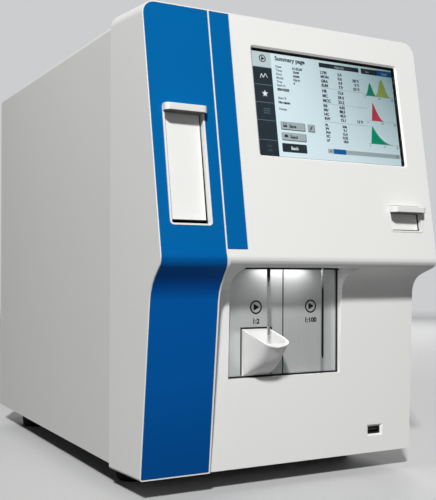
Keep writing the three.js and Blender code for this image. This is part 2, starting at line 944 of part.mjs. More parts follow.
add('display_gasket', displayGasket(), rubber, displayGroup);
const touchGlass = displaySlab(display.rebate - fit, glassFront, glassFront + display.glass);
add('touch_panel', touchGlass, glass, displayGroup);
add('lcd_module', lcdModule(), zinc, displayGroup);
add('display_board', displayBoardBody(), green, displayGroup);

// Tube door

const doorGroup = tiltedGroup(door.centreX, door.centreHeight);
const doorInner = { x: door.width / 2 - door.rim, z: door.height / 2 - door.rim };
const doorPivot = { y: door.pivotDepth, z: door.pivotRise - door.height / 2 };

function surround(sizes, proud) {
  const half = { x: sizes.width / 2, z: sizes.height / 2 };
  const outer = rounded(rectangle(-half.x, half.x, -half.z, half.z, sizes.cornerRadius));
  const inner = rectangle(-half.x + sizes.rim, half.x - sizes.rim, -half.z + sizes.rim, half.z - sizes.rim,
    sizes.cornerRadius - sizes.rim);
  const tube = alongY(outer, -proud, sizes.surroundDepth);
  return tube.subtract(alongY(rounded(inner), -proud - overrun, sizes.surroundDepth + overrun));
}

function tubeDoorFrame() {
  const holes = rodX(door.pinRadius + fit, doorPivot.y, doorPivot.z, -door.width, door.width);
  return surround(door, door.proud).subtract(holes);
}

// A finger lip: level in the part's frame, with rounded corners, cut to stand clear of the sloping face
function fingerLip(sizes, toWorld, standoff) {
  const frontY = forward(sizes.lipDepth);
  const plan = rounded([
    [sizes.centreX - lipShape.halfWidth, frontY, lipShape.cornerRadius],
    [sizes.centreX + lipShape.halfWidth, frontY, lipShape.cornerRadius],
    [sizes.centreX + lipShape.halfWidth, seamY, 0], [sizes.centreX - lipShape.halfWidth, seamY, 0],
  ]);
  const side = rounded([
    [frontY, up(sizes.lipBottom), lipShape.edge], [seamY, up(sizes.lipBottom), 0],
    [seamY, up(sizes.lipTop), 0], [frontY, up(sizes.lipTop), lipShape.edge],
  ]);
  const level = alongZ(plan, up(sizes.lipBottom), up(sizes.lipTop))
    .intersect(alongX(side, sizes.centreX - lipShape.halfWidth, sizes.centreX + lipShape.halfWidth));
  const outside = block(-sizes.width, sizes.width, -bezel.reach, -standoff, -sizes.height, sizes.height);
  return moved(level, toWorld.clone().invert()).intersect(outside);
}

function tubeDoor() {
  const halfWidth = doorInner.x - door.gap;
  const top = doorInner.z - door.gap;
  const bottom = -doorInner.z + door.footGap;
  const lipBack = -door.proud - fit;
  const panel = alongX(rounded([
    [door.topRecess, top, 0], [door.footRecess, bottom, 0],
    [door.footRecess + door.panel, bottom, 0], [door.topRecess + door.panel, top, 0],
  ]), -halfWidth, halfWidth);
  const stem = block(
    -halfWidth, halfWidth, lipBack - fit, door.topRecess + door.panel, top - door.stemHeight, top,
  );
  const lip = fingerLip(door, tiltedMatrix(door.centreX, door.centreHeight), door.proud + fit);
  const barrelHalf = doorInner.x - door.gap - fit;
  const barrel = rodX(door.barrelRadius, doorPivot.y, doorPivot.z, -barrelHalf, barrelHalf);
  const bore = rodX(door.pinRadius + fit, doorPivot.y, doorPivot.z, -door.width, door.width);
  return join(panel, stem, lip, barrel).subtract(bore);
}

add('tube_door_frame', tubeDoorFrame(), white, doorGroup);
add('tube_door', tubeDoor(), white, doorGroup);
const doorPin = rodX(door.pinRadius, doorPivot.y, doorPivot.z, -door.width / 2 + fit, door.width / 2 - fit);
add('tube_door_pin', doorPin, steel, doorGroup);

// The holder stands upright while the door is shut, on a web that follows the door's sloping back.
function holderBody() {
  const matrix = tiltedMatrix(door.centreX, door.centreHeight);
  const panelBack = (share) => {
    const z = doorInner.z * (2 * share - 1);
    const recess = THREE.MathUtils.lerp(door.footRecess, door.topRecess, share) + door.panel + fit;
    return new THREE.Vector3(0, recess, z).applyMatrix4(matrix);
  };
  const low = panelBack(0);
  const high = panelBack(1);
  const backAt = (z) => low.y + ((z - low.z) / (high.z - low.z)) * (high.y - low.y);
  const pin = new THREE.Vector3(0, door.pivotDepth, door.pivotRise - door.height / 2).applyMatrix4(matrix);
  const bottom = pin.z + door.barrelRadius + tubeHolder.footRise;
  const top = up(tubeHolder.topHeight);
  const axisY0 = forward(tubeHolder.axisDepth);
  const cylinder = rodZ(tubeHolder.radius, door.centreX, axisY0, bottom, top, roundSides);
  const margin = fit * 2;
  const web = alongX(rounded([
    [backAt(bottom) + margin, bottom, 0], [axisY0, bottom, 0], [axisY0, top, 0], [backAt(top) + margin, top, 0],
  ]), door.centreX - tubeHolder.web / 2, door.centreX + tubeHolder.web / 2);
  const bore = rodZ(
    tubeHolder.boreRadius, door.centreX, axisY0, bottom + tubeHolder.floor, top + overrun, roundSides,
  );
  return join(cylinder, web).subtract(bore);
}

add('tube_holder', holderBody(), grey);

// Pipette adapter drawer

const drawerGroup = tiltedGroup(drawer.centreX, drawer.centreHeight);
const drawerToWorld = tiltedMatrix(drawer.centreX, drawer.centreHeight);
const drawerToGroup = drawerToWorld.clone().invert();
const drawerInner = { x: drawer.width / 2 - drawer.rim, z: drawer.height / 2 - drawer.rim };
const shelfTop = drawer.trayTop - drawer.trayThickness - fit;

function drawerFrame() {
  const x = drawer.centreX;
  const half = drawer.shelfWidth / 2;
  const inside = half - drawer.shelfWall;
  const frontY = forward(frontDepth(drawer.centreHeight) - drawer.surroundDepth + 2 * drawer.rim);
  const backY = forward(drawer.shelfBackDepth);
  const top = up(shelfTop);
  const channel = alongY(rounded([
    [x - half, top - drawer.shelfThickness, 0], [x + half, top - drawer.shelfThickness, 0],
    [x + half, top + drawer.shelfWallHeight, 0], [x + inside, top + drawer.shelfWallHeight, 0],
    [x + inside, top, 0], [x - inside, top, 0],
    [x - inside, top + drawer.shelfWallHeight, 0], [x - half, top + drawer.shelfWallHeight, 0],
  ]), frontY, backY);
  return join(surround(drawer, 0), moved(channel, drawerToGroup));
}

function drawerBody() {
  const halfWidth = drawerInner.x - drawer.gap;
  const top = drawerInner.z - drawer.gap;
  const lip = fingerLip(drawer, drawerToWorld, fit);
  const stem = block(
    -halfWidth, halfWidth, -2 * fit, drawer.recess + drawer.panel, top - drawer.stemHeight, top,
  );
  const panel = block(
    -halfWidth, halfWidth, drawer.recess, drawer.recess + drawer.panel, -drawerInner.z + drawer.footGap, top,
  );
  const trayHalf = drawer.trayWidth / 2;
  const trayFront = forward(frontDepth(drawer.trayTop) - drawer.recess - drawer.panel / 2);
  const tray = block(
    drawer.centreX - trayHalf, drawer.centreX + trayHalf, trayFront, forward(drawer.trayBackDepth),
    up(drawer.trayTop - drawer.trayThickness), up(drawer.trayTop),
  );
  return join(lip, stem, panel, moved(tray, drawerToGroup));
}

function adapterBody() {
  const y = forward(adapter.axisDepth);
  const bottom = up(drawer.trayTop) + fit;
  const top = up(adapter.topHeight);
  const half = adapter.foot / 2;
  const footBody = block(
    drawer.centreX - half, drawer.centreX + half, y - half, y + half, bottom, bottom + adapter.footHeight,
  );
  const post = rodZ(adapter.radius, drawer.centreX, y, bottom, top, roundSides);
  const bore = rodZ(adapter.boreRadius, drawer.centreX, y, top - adapter.boreDepth, top + overrun);
  return join(footBody, post).subtract(bore);
}

add('pipette_drawer_frame', drawerFrame(), white, drawerGroup);
add('pipette_drawer', drawerBody(), white, drawerGroup);
add('pipette_adapter', adapterBody(), grey);

// Sampling alcove

const plateBackDepth = plate.faceDepth - plate.sheet;
const headSides = { left: alcove.leftX - alcove.wall, right: alcove.rightX + alcove.wall };

function alcoveLiner() {
  const outer = join(
    block(
      headSides.left, headSides.right,
      forward(alcove.slotDepth + alcoveHead.wall), forward(alcove.backDepth - alcove.wall),
      up(alcove.bottomHeight - alcove.wall), up(alcoveHead.topHeight + alcoveHead.wall),
    ),
    block(
      headSides.left, headSides.right, forward(bezel.bulgeDepth), forward(alcove.slotDepth),
      up(alcove.bottomHeight - alcove.wall), up(alcove.topHeight + alcove.wall),
    ),
  );
  const cavity = block(
    alcove.leftX, alcove.rightX, forward(bezel.bulgeDepth + overrun), forward(alcove.backDepth),
    up(alcove.bottomHeight), up(alcove.topHeight),
  );
  const slot = block(
    alcove.leftX, alcove.rightX, forward(alcove.slotDepth), forward(alcove.backDepth),
    up(alcove.bottomHeight), up(alcoveHead.topHeight),
  );
  const rodHole = rodX(plate.rodRadius + fit, forward(plate.pivotDepth), up(plate.pivotHeight),
    headSides.left - overrun, headSides.right + overrun);
  const probeHoles = [bloodProbe, diluteProbe].map(({ x }) => (
    rodZ(probe.sheathRadius + 2 * fit, x, forward(probe.depth), up(alcove.topHeight) - overrun,
      up(alcove.topHeight + alcove.wall) + overrun)
  ));
  const window = block(
    lens.leftX - fit, lens.rightX + fit, forward(lens.frontDepth + fit), forward(lens.backDepth - fit),
    up(alcove.topHeight) - overrun, up(alcove.topHeight + alcove.wall) + overrun,
  );
  const body = cut(outer, cavity, slot, rodHole, ...probeHoles, window);
  return body.intersect(innerFit);
}

function lightLens() {
  const top = up(alcove.topHeight + alcove.wall);
  const rod = block(lens.leftX, lens.rightX, forward(lens.frontDepth), forward(lens.backDepth),
    up(alcove.topHeight) - lens.drop, top + lens.lipHeight);
  const lip = block(lens.leftX - lens.lip, lens.rightX + lens.lip, forward(lens.frontDepth + lens.lip),
    forward(lens.backDepth), top + fit, top + fit + lens.lipHeight);
  return join(rod, lip);
}

// One start plate: a face sheet with folded edges and a knuckle that turns on the rod
function startPlate(left, right, notch) {
  const bottom = up(alcove.bottomHeight + plate.footGap);
  const neckZ = up(plate.neckHeight);
  const face = block(left, right, forward(plate.faceDepth), forward(plateBackDepth), bottom, neckZ);
  const edge = (x0, x1) => block(x0, x1, forward(plateBackDepth + fit), forward(plateBackDepth - plate.flange),
    bottom, up(alcove.topHeight));
  const neck = alongX(rounded([
    [forward(plate.faceDepth), up(plate.neckHeight - plate.sheet), 0],
    [forward(plateBackDepth), up(plate.neckHeight - plate.sheet), 0],
    [forward(plate.pivotDepth), up(plate.pivotHeight - plate.knuckleRadius), 0],
    [forward(plate.pivotDepth), up(plate.pivotHeight), 0],
    [forward(plate.pivotDepth + plate.knuckleRadius), up(plate.pivotHeight), 0],
    [forward(plate.faceDepth), up(plate.neckHeight), 0],
  ]), left, right);
  const knuckle = rodX(plate.knuckleRadius, forward(plate.pivotDepth), up(plate.pivotHeight), left, right);
  const bore = rodX(plate.rodRadius + fit, forward(plate.pivotDepth), up(plate.pivotHeight),
    left - overrun, right + overrun);
  const whole = join(face, edge(left, left + plate.sheet), edge(right - plate.sheet, right), neck, knuckle);
  return cut(whole, bore, ...notch);
}

const notch = block(
  cup.centreX - cup.halfWidth - plate.notchGap, cup.centreX + cup.halfWidth + plate.notchGap,
  forward(plate.faceDepth + overrun), forward(plateBackDepth - plate.flange - fit),
  up(alcove.bottomHeight), up(cup.rimHeight + plate.notchGap),
);
add('alcove_liner', alcoveLiner(), white);
add('alcove_light_lens', lightLens(), lampWhite);
add('left_start_plate', startPlate(plateEdges.left, plateEdges.seamLeft, [notch]), steel);
add('right_start_plate', startPlate(plateEdges.seamRight, plateEdges.right, []), steel);
const plateRod = rodX(plate.rodRadius, forward(plate.pivotDepth), up(plate.pivotHeight),
  headSides.left + fit, headSides.right - fit);
add('start_plate_rod', plateRod, steel);

function switchBody(x) {
  const backY = forward(alcove.backDepth + fit);
  const frontY = forward(alcove.backDepth + fit + startSwitch.depth);
  const z = up(startSwitch.centreHeight);
  const body = block(x - startSwitch.width / 2, x + startSwitch.width / 2, frontY, backY,
    z - startSwitch.height / 2, z + startSwitch.height / 2);
  const button = rodY(startSwitch.buttonRadius, x, z, forward(startSwitch.buttonTip), frontY + fit, smallSides);
  return join(body, button);
}

add('left_start_switch', switchBody(plateEdges.left + startSwitch.leftInset), black);
add('right_start_switch', switchBody(plateEdges.seamRight + startSwitch.rightInset), black);

// Drip cup: a scoop with a squared mouth whose front edge dips, over a floor that rises forward in a curve

function cupRing(index, wall, lift) {
  const ring = cupRings[index];
  const share = index / (cupRings.length - 1);
  const reach = cup.reach * ring.reachShare - wall;
  const front = (cup.rimHeight - cup.bottomHeight) * ring.frontShare;
  const rear = (cup.rimHeight - cup.bottomHeight) * ring.backShare;
  const half = cup.halfWidth * THREE.MathUtils.lerp(cup.bottomWidthShare, 1, share) - wall;
  const dip = index === cupRings.length - 1 ? cup.lipDip : 0;
  const points = [];
  for (let k = 0; k <= cup.sections; k += 1) {
    const angle = (Math.PI * k) / cup.sections;
    const across = Math.sign(Math.cos(angle)) * Math.abs(Math.cos(angle)) ** ring.fullnessShare;
    const out = Math.sin(angle) ** ring.fullnessShare;
    const sag = dip * Math.max(0, 1 - across * across) * out ** 2;
    const height = cup.bottomHeight + front + (rear - front) * (1 - out) - sag + lift;
    const depth = cup.rootDepth + reach * out;
    points.push(new THREE.Vector3(cup.centreX + half * across, forward(depth), up(height)));
  }
  return points;
}

function dripCup() {
  const flat = (point) => new THREE.Vector2(point.x, point.y);
  const outer = loft(cupRings.map((_, k) => cupRing(k, 0, 0)), flat);
  const hollow = loft(cupRings.slice(1).map((_, k) => cupRing(k + 1, cup.wall, cup.floor)), flat);
  const stem = block(
    cup.centreX - cup.halfWidth + cup.stemInset, cup.centreX + cup.halfWidth - cup.stemInset,
    forward(cup.rootDepth + fit), forward(alcove.backDepth + fit),
    up(cup.bottomHeight + cup.stemInset), up(cup.stemTop),
  );
  const backWall = block(
    cup.centreX - cup.halfWidth, cup.centreX + cup.halfWidth,
    forward(cup.rootDepth + cup.wall), forward(cup.rootDepth), up(cup.bottomHeight), up(cup.rimHeight),
  );
  return join(outer.subtract(hollow), backWall, stem);
}

add('drip_cup', dripCup(), white);

// Probes, hung on carriages that run on a rail behind them

const carriageTop = carriage.bottomHeight + carriage.height;

function needle(sizes) {
  const y = forward(probe.depth);
  const profile = [
    [0, sizes.tipHeight],
    [probe.needleRadius / 2, sizes.tipHeight],
    [probe.needleRadius, sizes.tipHeight + probe.tipLength],
    [probe.needleRadius, sizes.sheathBottom],
    [probe.sheathRadius, sizes.sheathBottom + probe.tipLength / 2],
    [probe.sheathRadius, carriageTop + fit],
    [probe.collarRadius, carriageTop + fit],
    [probe.collarRadius, carriageTop + fit + probe.collarHeight],
    [0, carriageTop + fit + probe.collarHeight],
  ].map(([radius, height]) => new THREE.Vector2(radius, height));
  const geometry = new THREE.LatheGeometry(profile, smallSides);
  geometry.rotateX(Math.PI / 2);
  geometry.translate(sizes.x, y, up(0));
  return solid(geometry);
}

function carriageBody(x) {
  const half = carriage.width / 2;
  const body = block(x - half, x + half, forward(carriage.frontDepth), forward(carriage.backDepth),
    up(carriage.bottomHeight), up(carriageTop));
  const bore = rodZ(probe.sheathRadius + fit, x, forward(probe.depth), up(carriage.bottomHeight) - overrun,
    up(carriageTop) + overrun);
  const groove = block(x - probeRail.railWidth / 2 - fit, x + probeRail.railWidth / 2 + fit,
    forward(carriage.backDepth + carriage.grooveDepth + fit), forward(carriage.backDepth) + overrun,
    up(carriage.bottomHeight) - overrun, up(carriageTop) + overrun);
  return cut(body, bore, groove);
}

function railBody() {
  const bottom = up(alcove.topHeight + alcove.wall) + fit;
  const top = up(probeRail.topHeight);
  const faceDepth = carriage.backDepth - fit;
  const seat = up(alcoveHead.topHeight + alcoveHead.wall) + fit;
  const sheet = block(
    probeRail.leftX, probeRail.rightX, forward(faceDepth), forward(faceDepth - probeRail.thickness), seat, top,
  );
  const rails = [bloodProbe, diluteProbe].map(({ x }) => block(
    x - probeRail.railWidth / 2, x + probeRail.railWidth / 2,
    forward(carriage.backDepth + probeRail.railReach), forward(faceDepth - fit), seat, top,
  ));
  const footBody = block(
    probeRail.leftX, probeRail.rightX, forward(faceDepth - fit), forward(faceDepth - probeRail.foot),
    seat, seat + probeRail.thickness,
  );
  const toe = block(lens.rightX + lens.lip + fit + probeRail.thickness, probeRail.rightX,
    forward(faceDepth), forward(faceDepth - probeRail.thickness), bottom, top);
  return join(sheet, ...rails, footBody, toe);
}

add('whole_blood_probe', needle(bloodProbe), steel);
add('predilute_probe', needle(diluteProbe), steel);
add('whole_blood_carriage', carriageBody(bloodProbe.x), grey);
add('predilute_carriage', carriageBody(diluteProbe.x), grey);
add('probe_rail', railBody(), zinc);

// USB sockets. The mouth faces -y from the given face.

function usbSocket(x, faceY, z, direction) {
  const span = (a, b) => [faceY + direction * a, faceY + direction * b].sort((p, q) => p - q);
  const half = { x: usb.width / 2, z: usb.shellHeight / 2 };
  const [y0, y1] = span(usb.recess, usb.length);
  const [h0, h1] = span(usb.recess - overrun, usb.length - usb.wall * 2);
  const [t0, t1] = span(usb.recess + usb.tongueInset, usb.length);
  const shell = block(x - half.x, x + half.x, y0, y1, z - half.z, z + half.z);
  const bore = { x: half.x - usb.wall, z: half.z - usb.wall };
  const mouth = block(x - bore.x, x + bore.x, h0, h1, z - bore.z, z + bore.z);
  const tongue = block(x - usb.tongueWidth / 2, x + usb.tongueWidth / 2, t0, t1, z, z + usb.tongueThickness);
  return join(shell.subtract(mouth), tongue);
}

function usbFlange(x, y0, z) {
  const half = { x: usb.flangeWidth / 2, z: usb.flangeHeight / 2 };
  const outer = block(x - half.x, x + half.x, y0, y0 + usb.flangeThickness, z - half.z, z + half.z);
  const bore = { x: (usb.width - usb.wall) / 2, z: (usb.shellHeight - usb.wall) / 2 };
  const inner = block(x - bore.x, x + bore.x, y0 - overrun, y0 + overrun, z - bore.z, z + bore.z);
  return outer.subtract(inner);
}

const frontUsb = usbSocket(usb.x, forward(usbDepth), onBase(usb.baseHeight), 1);
const frontUsbFlange = usbFlange(usb.x, forward(usbDepth - bezel.wall - 2 * fit), onBase(usb.baseHeight));
add('usb_socket', join(frontUsb, frontUsbFlange), black);

// Housing

const housingHalf = overall.width / 2 - housing.sideGap;
const innerHalf = housingHalf - housing.sheet - fit;
const rearY = overall.depth / 2;
const housingFrontY = back(housing.frontSetback);

function housingCover() {
  const profile = (distance, y0, y1) => rounded(inset([
    [y0, onBase(housing.baseHeight), 0], [y1, onBase(housing.baseHeight), 0],
    [y1, up(housing.topHeight), housing.rearTopRadius], [y0, up(housing.topHeight), 0],
  ], distance));
  const section = (distance) => rounded(inset([
    [-housingHalf, onBase(housing.baseHeight), 0], [housingHalf, onBase(housing.baseHeight), 0],
    [housingHalf, up(housing.topHeight), housing.topRadius],
    [-housingHalf, up(housing.topHeight), housing.topRadius],
  ], distance));
  const outer = alongX(profile(0, housingFrontY, rearY), -housingHalf, housingHalf)
    .intersect(alongY(section(0), housingFrontY - overrun, rearY + overrun));
  const hollow = alongX(profile(housing.sheet, housingFrontY - overrun, rearY), -housingHalf, housingHalf)
    .intersect(alongY(section(housing.sheet), housingFrontY - overrun, rearY + overrun));
  const belly = block(-housingHalf + housing.sheet, housingHalf - housing.sheet, housingFrontY - overrun,
    rearY - housing.sheet, onBase(housing.baseHeight) - overrun, onBase(housing.baseHeight) + overrun);
  const opening = block(
    -housingHalf + housing.rearFlange, housingHalf - housing.rearFlange,
    rearY - housing.sheet - overrun, rearY + overrun,
    onBase(housing.baseHeight) - overrun, up(housing.topHeight) - housing.rearFlange,
  );
  return cut(outer, hollow, belly, opening);
}

function basePlate() {
  const bottom = onBase(housing.baseHeight);
  const frontY = back(chassis.sheet + 2 * fit);
  const backY = back(base.rearSetback);
  const floor = block(-innerHalf, innerHalf, frontY, backY, bottom, bottom + base.sheet);
  const wall = (x0) => block(
    x0, x0 + base.sheet, frontY, back(base.flangeSetback), bottom, bottom + base.flangeHeight,
  );
  const slots = Array.from({ length: base.slotCount }, (_, k) => {
    const y = back(rear.setback / 2) + (k - (base.slotCount - 1) / 2) * base.slotPitch;
    return block(-base.slotLength / 2 - foot.x / 2, base.slotLength / 2 - foot.x / 2, y, y + base.slotWidth,
      bottom - overrun, bottom + overrun);
  });
  return cut(join(floor, wall(-innerHalf), wall(innerHalf - base.sheet)), ...slots);
}

const floorHeight = housing.baseHeight + base.sheet + fit;

// A sheet that fills the housing's section
function crossSheet(y0, thickness, bottom) {
  const top = up(housing.topHeight - housing.sheet - fit);
  const radius = housing.topRadius - housing.sheet;
  const corners = [
    [-innerHalf, bottom, 0], [innerHalf, bottom, 0], [innerHalf, top, radius], [-innerHalf, top, radius],
  ];
  return alongY(rounded(corners), y0, y0 + thickness);
}

function frontChassis() {
  const halfWidth = innerHalf - chassis.sideMargin;
  const y0 = back(fit);
  const sheet = crossSheet(y0, chassis.sheet, onBase(housing.baseHeight));
  const window = (bottom, high) => alongY(rounded(rectangle(
    -halfWidth, halfWidth, bottom, high, chassis.windowRadius,
  )), y0 - overrun, y0 + overrun);
  const upper = window(up(chassis.upperBottom), up(chassis.upperTop));
  const lower = window(onBase(chassis.lowerBase), up(chassis.lowerTop));
  return cut(sheet, upper, lower);
}

const inletSocketHeight = inlet.baseHeight - inlet.socketDrop;
const portPlaces = [0, 1, 2].map((k) => ports.firstX + k * ports.spacing);
const rearUsb = { x: ports.firstX + 3 * ports.spacing + usb.flangeWidth / 2, baseHeight: port.baseHeight };

function rearPanel() {
  const y0 = back(rear.setback);
  const sheet = crossSheet(y0, rear.sheet, onBase(floorHeight));
  const fanHole = rodY(fan.boreRadius, fan.x, up(fan.height), y0 - overrun, y0 + overrun, roundSides);
  const slotThrough = (x, height, width, tall) => block(
    x - width / 2 - fit, x + width / 2 + fit, y0 - overrun, y0 + overrun,
    onBase(height) - tall / 2 - fit, onBase(height) + tall / 2 + fit,
  );
  const inletHole = slotThrough(inlet.x, inlet.baseHeight, inlet.bodyWidth, inlet.bodyHeight);
  const portHoles = portPlaces.map((x) => (
    rodY(ports.tailRadius + fit, x, onBase(port.baseHeight), y0 - overrun, y0 + overrun)
  ));
  const usbHole = slotThrough(rearUsb.x, rearUsb.baseHeight, usb.width, usb.shellHeight);
  return cut(sheet, fanHole, inletHole, ...portHoles, usbHole);
}

add('housing_cover', housingCover(), housingWhite);
add('base_plate', basePlate(), zinc);
add('front_chassis', frontChassis(), zinc);
add('rear_panel', rearPanel(), housingWhite);

function footBody(x, setback) {
  const profile = [
    [0, 0], [foot.radius - foot.chamfer, 0], [foot.radius, foot.chamfer],
    [foot.topRadius, onBase(housing.baseHeight) - fit], [0, onBase(housing.baseHeight) - fit],
  ].map(([radius, height]) => new THREE.Vector2(radius, height));
  const geometry = new THREE.LatheGeometry(profile, roundSides);
  geometry.rotateX(Math.PI / 2);
  geometry.translate(x, back(setback), 0);
  return solid(geometry);
}

add('foot_front_left', footBody(-foot.x, foot.frontSetback), rubber);
add('foot_front_right', footBody(foot.x, foot.frontSetback), rubber);
add('foot_rear_left', footBody(-foot.x, foot.rearSetback), rubber);
add('foot_rear_right', footBody(foot.x, foot.rearSetback), rubber);

// Cooling fan: frame inside the rear panel, guard outside it

const panelInsideY = back(rear.setback) - fit;
const panelOutsideY = back(rear.setback + rear.sheet) + fit;
const fanInsideY = panelInsideY - fan.depth;
const fanZ = up(fan.height);

function fanFrame() {
  const half = fan.size / 2;
  const outline = rounded(rectangle(fan.x - half, fan.x + half, fanZ - half, fanZ + half, fan.frameCorner));
  const bore = rodY(fan.boreRadius, fan.x, fanZ, fanInsideY - overrun, panelInsideY + overrun, roundSides);
  const ring = alongY(outline, fanInsideY, panelInsideY).subtract(bore);
  const hub = rodY(fan.hubRadius, fan.x, fanZ, fanInsideY, fanInsideY + fan.strutDepth, roundSides);
  const reach = fan.boreRadius + fit;
  const strut = fan.strutWidth / 2;
  const struts = join(
    block(fan.x - reach, fan.x + reach, fanInsideY, fanInsideY + fan.strutDepth, fanZ - strut, fanZ + strut),
    block(fan.x - strut, fan.x + strut, fanInsideY, fanInsideY + fan.strutDepth, fanZ - reach, fanZ + reach),
  );
  return join(ring, hub, struts);
}

// A blade is a strip lofted from hub to tip, turning less with radius.
function fanRotor() {
  const y0 = fanInsideY + fan.strutDepth + fit;
  const y1 = panelInsideY - fan.rotorSetIn;
  const hub = rodY(fan.hubRadius, fan.x, fanZ, y0, y1, roundSides);
  const middle = (y0 + y1) / 2;
  const blades = Array.from({ length: fan.bladeCount }, (_, k) => {
    const turn = (2 * Math.PI * k) / fan.bladeCount;
    const rings = [0, 0.5, 1].map((share) => {
      const radius = THREE.MathUtils.lerp(fan.hubRadius * fan.bladeRootShare, fan.bladeRadius, share);
      const pitch = THREE.MathUtils.degToRad(fan.bladeTwistDegrees) * (1 - share / 3);
      const chord = fan.bladeSpan * Math.cos(pitch) / 2;
      const sweep = fan.bladeSpan * Math.sin(pitch) / 2;
      const thick = fan.bladeThickness / 2;
      const corners = [
        [-chord, -sweep - thick], [chord, sweep - thick], [chord, sweep + thick], [-chord, -sweep + thick],
      ];
      return corners.map(([a, b]) => {
        const angle = turn + a / radius;
        return new THREE.Vector3(fan.x + radius * Math.cos(angle), middle + b, fanZ + radius * Math.sin(angle));
      });
    });
    return loft(rings, (point) => new THREE.Vector2(
      (point.x - fan.x) * Math.sin(turn) - (point.z - fanZ) * Math.cos(turn), point.y,
    ));
  });
  return join(hub, ...blades);
}

function fanGuard() {
  const wireY = panelOutsideY + guard.standoff;
  const ring = (radius) => {
    const geometry = new THREE.TorusGeometry(radius, guard.wire, smallSides / 2, roundSides);
    geometry.rotateX(Math.PI / 2);
    geometry.translate(fan.x, wireY, fanZ);
    return solid(geometry);
  };
  const rings = Array.from({ length: guard.ringCount }, (_, k) => (
    ring(guard.innerRadius + ((guard.radius - guard.innerRadius) * k) / (guard.ringCount - 1))
  ));
  const ear = fan.size / 2 - fan.frameCorner;
  const reach = Math.hypot(ear, ear);
  const spokes = Array.from({ length: guard.spokeCount }, (_, k) => {
    const angle = Math.PI / 4 + (Math.PI * k) / (guard.spokeCount / 2);
    const length = reach - guard.innerRadius;
    const geometry = new THREE.CylinderGeometry(guard.wire, guard.wire, length, smallSides / 2);
    geometry.rotateZ(-Math.PI / 2);
    geometry.translate((reach + guard.innerRadius) / 2, 0, 0);
    geometry.rotateY(-angle);
    geometry.translate(fan.x, wireY, fanZ);
    return solid(geometry);
  });
  const ears = [-ear, ear].flatMap((a) => [-ear, ear].map((b) => (
    rodY(guard.earRadius, fan.x + a, fanZ + b, panelOutsideY, wireY + guard.wire)
  )));
  return join(...rings, ...spokes, ...ears);
}

add('fan_frame', fanFrame(), black);
add('fan_rotor', fanRotor(), black);
add('fan_guard', fanGuard(), steel);

// Mains inlet with its rocker switch

const flangeFaceY = panelOutsideY + inlet.flangeThickness;
const rockerZ = onBase(inlet.baseHeight + inlet.rockerRise);

function powerInlet() {
  const z = onBase(inlet.baseHeight);
  const half = { x: inlet.flangeWidth / 2, z: inlet.flangeHeight / 2 };
  const outline = rectangle(inlet.x - half.x, inlet.x + half.x, z - half.z, z + half.z, inlet.socketCorner);
  const flange = alongY(rounded(outline), panelOutsideY, flangeFaceY);
  const body = block(
    inlet.x - inlet.bodyWidth / 2, inlet.x + inlet.bodyWidth / 2,
    flangeFaceY - inlet.bodyDepth, panelOutsideY + fit, z - inlet.bodyHeight / 2, z + inlet.bodyHeight / 2,
  );
  const socketZ = onBase(inletSocketHeight);
  const mouth = alongY(rounded(rectangle(
    inlet.x - inlet.socketWidth / 2, inlet.x + inlet.socketWidth / 2,
    socketZ - inlet.socketHeight / 2, socketZ + inlet.socketHeight / 2, inlet.socketCorner,
  )), flangeFaceY - inlet.socketDepth, flangeFaceY + overrun);
  const pin = (dx, dz) => block(
    inlet.x + dx - inlet.pinThickness / 2, inlet.x + dx + inlet.pinThickness / 2,
    flangeFaceY - inlet.socketDepth - fit, flangeFaceY - inlet.socketDepth + inlet.pinLength,
    socketZ + dz - inlet.pinWidth / 2, socketZ + dz + inlet.pinWidth / 2,
  );
  const pocket = block(
    inlet.x - rocker.width / 2 - rocker.gap, inlet.x + rocker.width / 2 + rocker.gap,
    flangeFaceY - rocker.depth - rocker.crest, flangeFaceY + overrun,
    rockerZ - rocker.height / 2 - rocker.gap, rockerZ + rocker.height / 2 + rocker.gap,
  );
  return join(
    cut(join(flange, body), mouth, pocket),
    pin(-inlet.pinSpacing, -inlet.pinRise), pin(inlet.pinSpacing, -inlet.pinRise), pin(0, inlet.pinRise),
  );
}

const rockerGroup = new THREE.Group();
rockerGroup.position.set(inlet.x, flangeFaceY - rocker.pivotDepth, rockerZ);
rockerGroup.rotation.x = THREE.MathUtils.degToRad(rocker.tiltDegrees);
counter.add(rockerGroup);

function rockerBody() {
  const half = rocker.height / 2 - rocker.gap;
  const crest = rocker.pivotDepth + rocker.crest;
  const shape = rounded([
    [-rocker.depth / 2, 0, 0], [0, -half, 0], [rocker.pivotDepth, -half, rocker.gap],
    [crest - rocker.crest / 2, 0, 0], [rocker.pivotDepth, half, rocker.gap], [0, half, 0],
  ]);
  return alongX(shape, -rocker.width / 2, rocker.width / 2);
}

add('power_inlet', powerInlet(), black);
add('power_switch', rockerBody(), black, rockerGroup);

// Reagent ports and the rear USB socket

function reagentPort(x) {
  const tailY = panelOutsideY - ports.tailLength;
  const flangeY = panelOutsideY + port.flange;
  const nutY = flangeY + port.nut;
  const barbs = 2;
  const profile = [[0, tailY], [ports.tailRadius, tailY], [ports.tailRadius, panelOutsideY],
    [port.flangeRadius, panelOutsideY], [port.flangeRadius, flangeY], [port.nutRadius, flangeY],
    [port.nutRadius, nutY], [port.neckRadius, nutY]];
  for (let k = 0; k < barbs; k += 1) {
    profile.push([port.neckRadius, nutY + port.barb * (k + 0.3)]);
    profile.push([port.barbRadius, nutY + port.barb * (k + 0.4)]);
    profile.push([port.neckRadius, nutY + port.barb * (k + 1)]);
  }
  const tipY = nutY + port.barb * barbs;
  const boreY = tipY - ports.boreDepth;
  profile.push([ports.boreRadius, tipY], [ports.boreRadius, boreY], [0, boreY]);
  const points = profile.map(([radius, y]) => new THREE.Vector2(radius, y));
  const geometry = new THREE.LatheGeometry(points, smallSides);
  geometry.translate(x, 0, onBase(port.baseHeight));
  return solid(geometry);
}

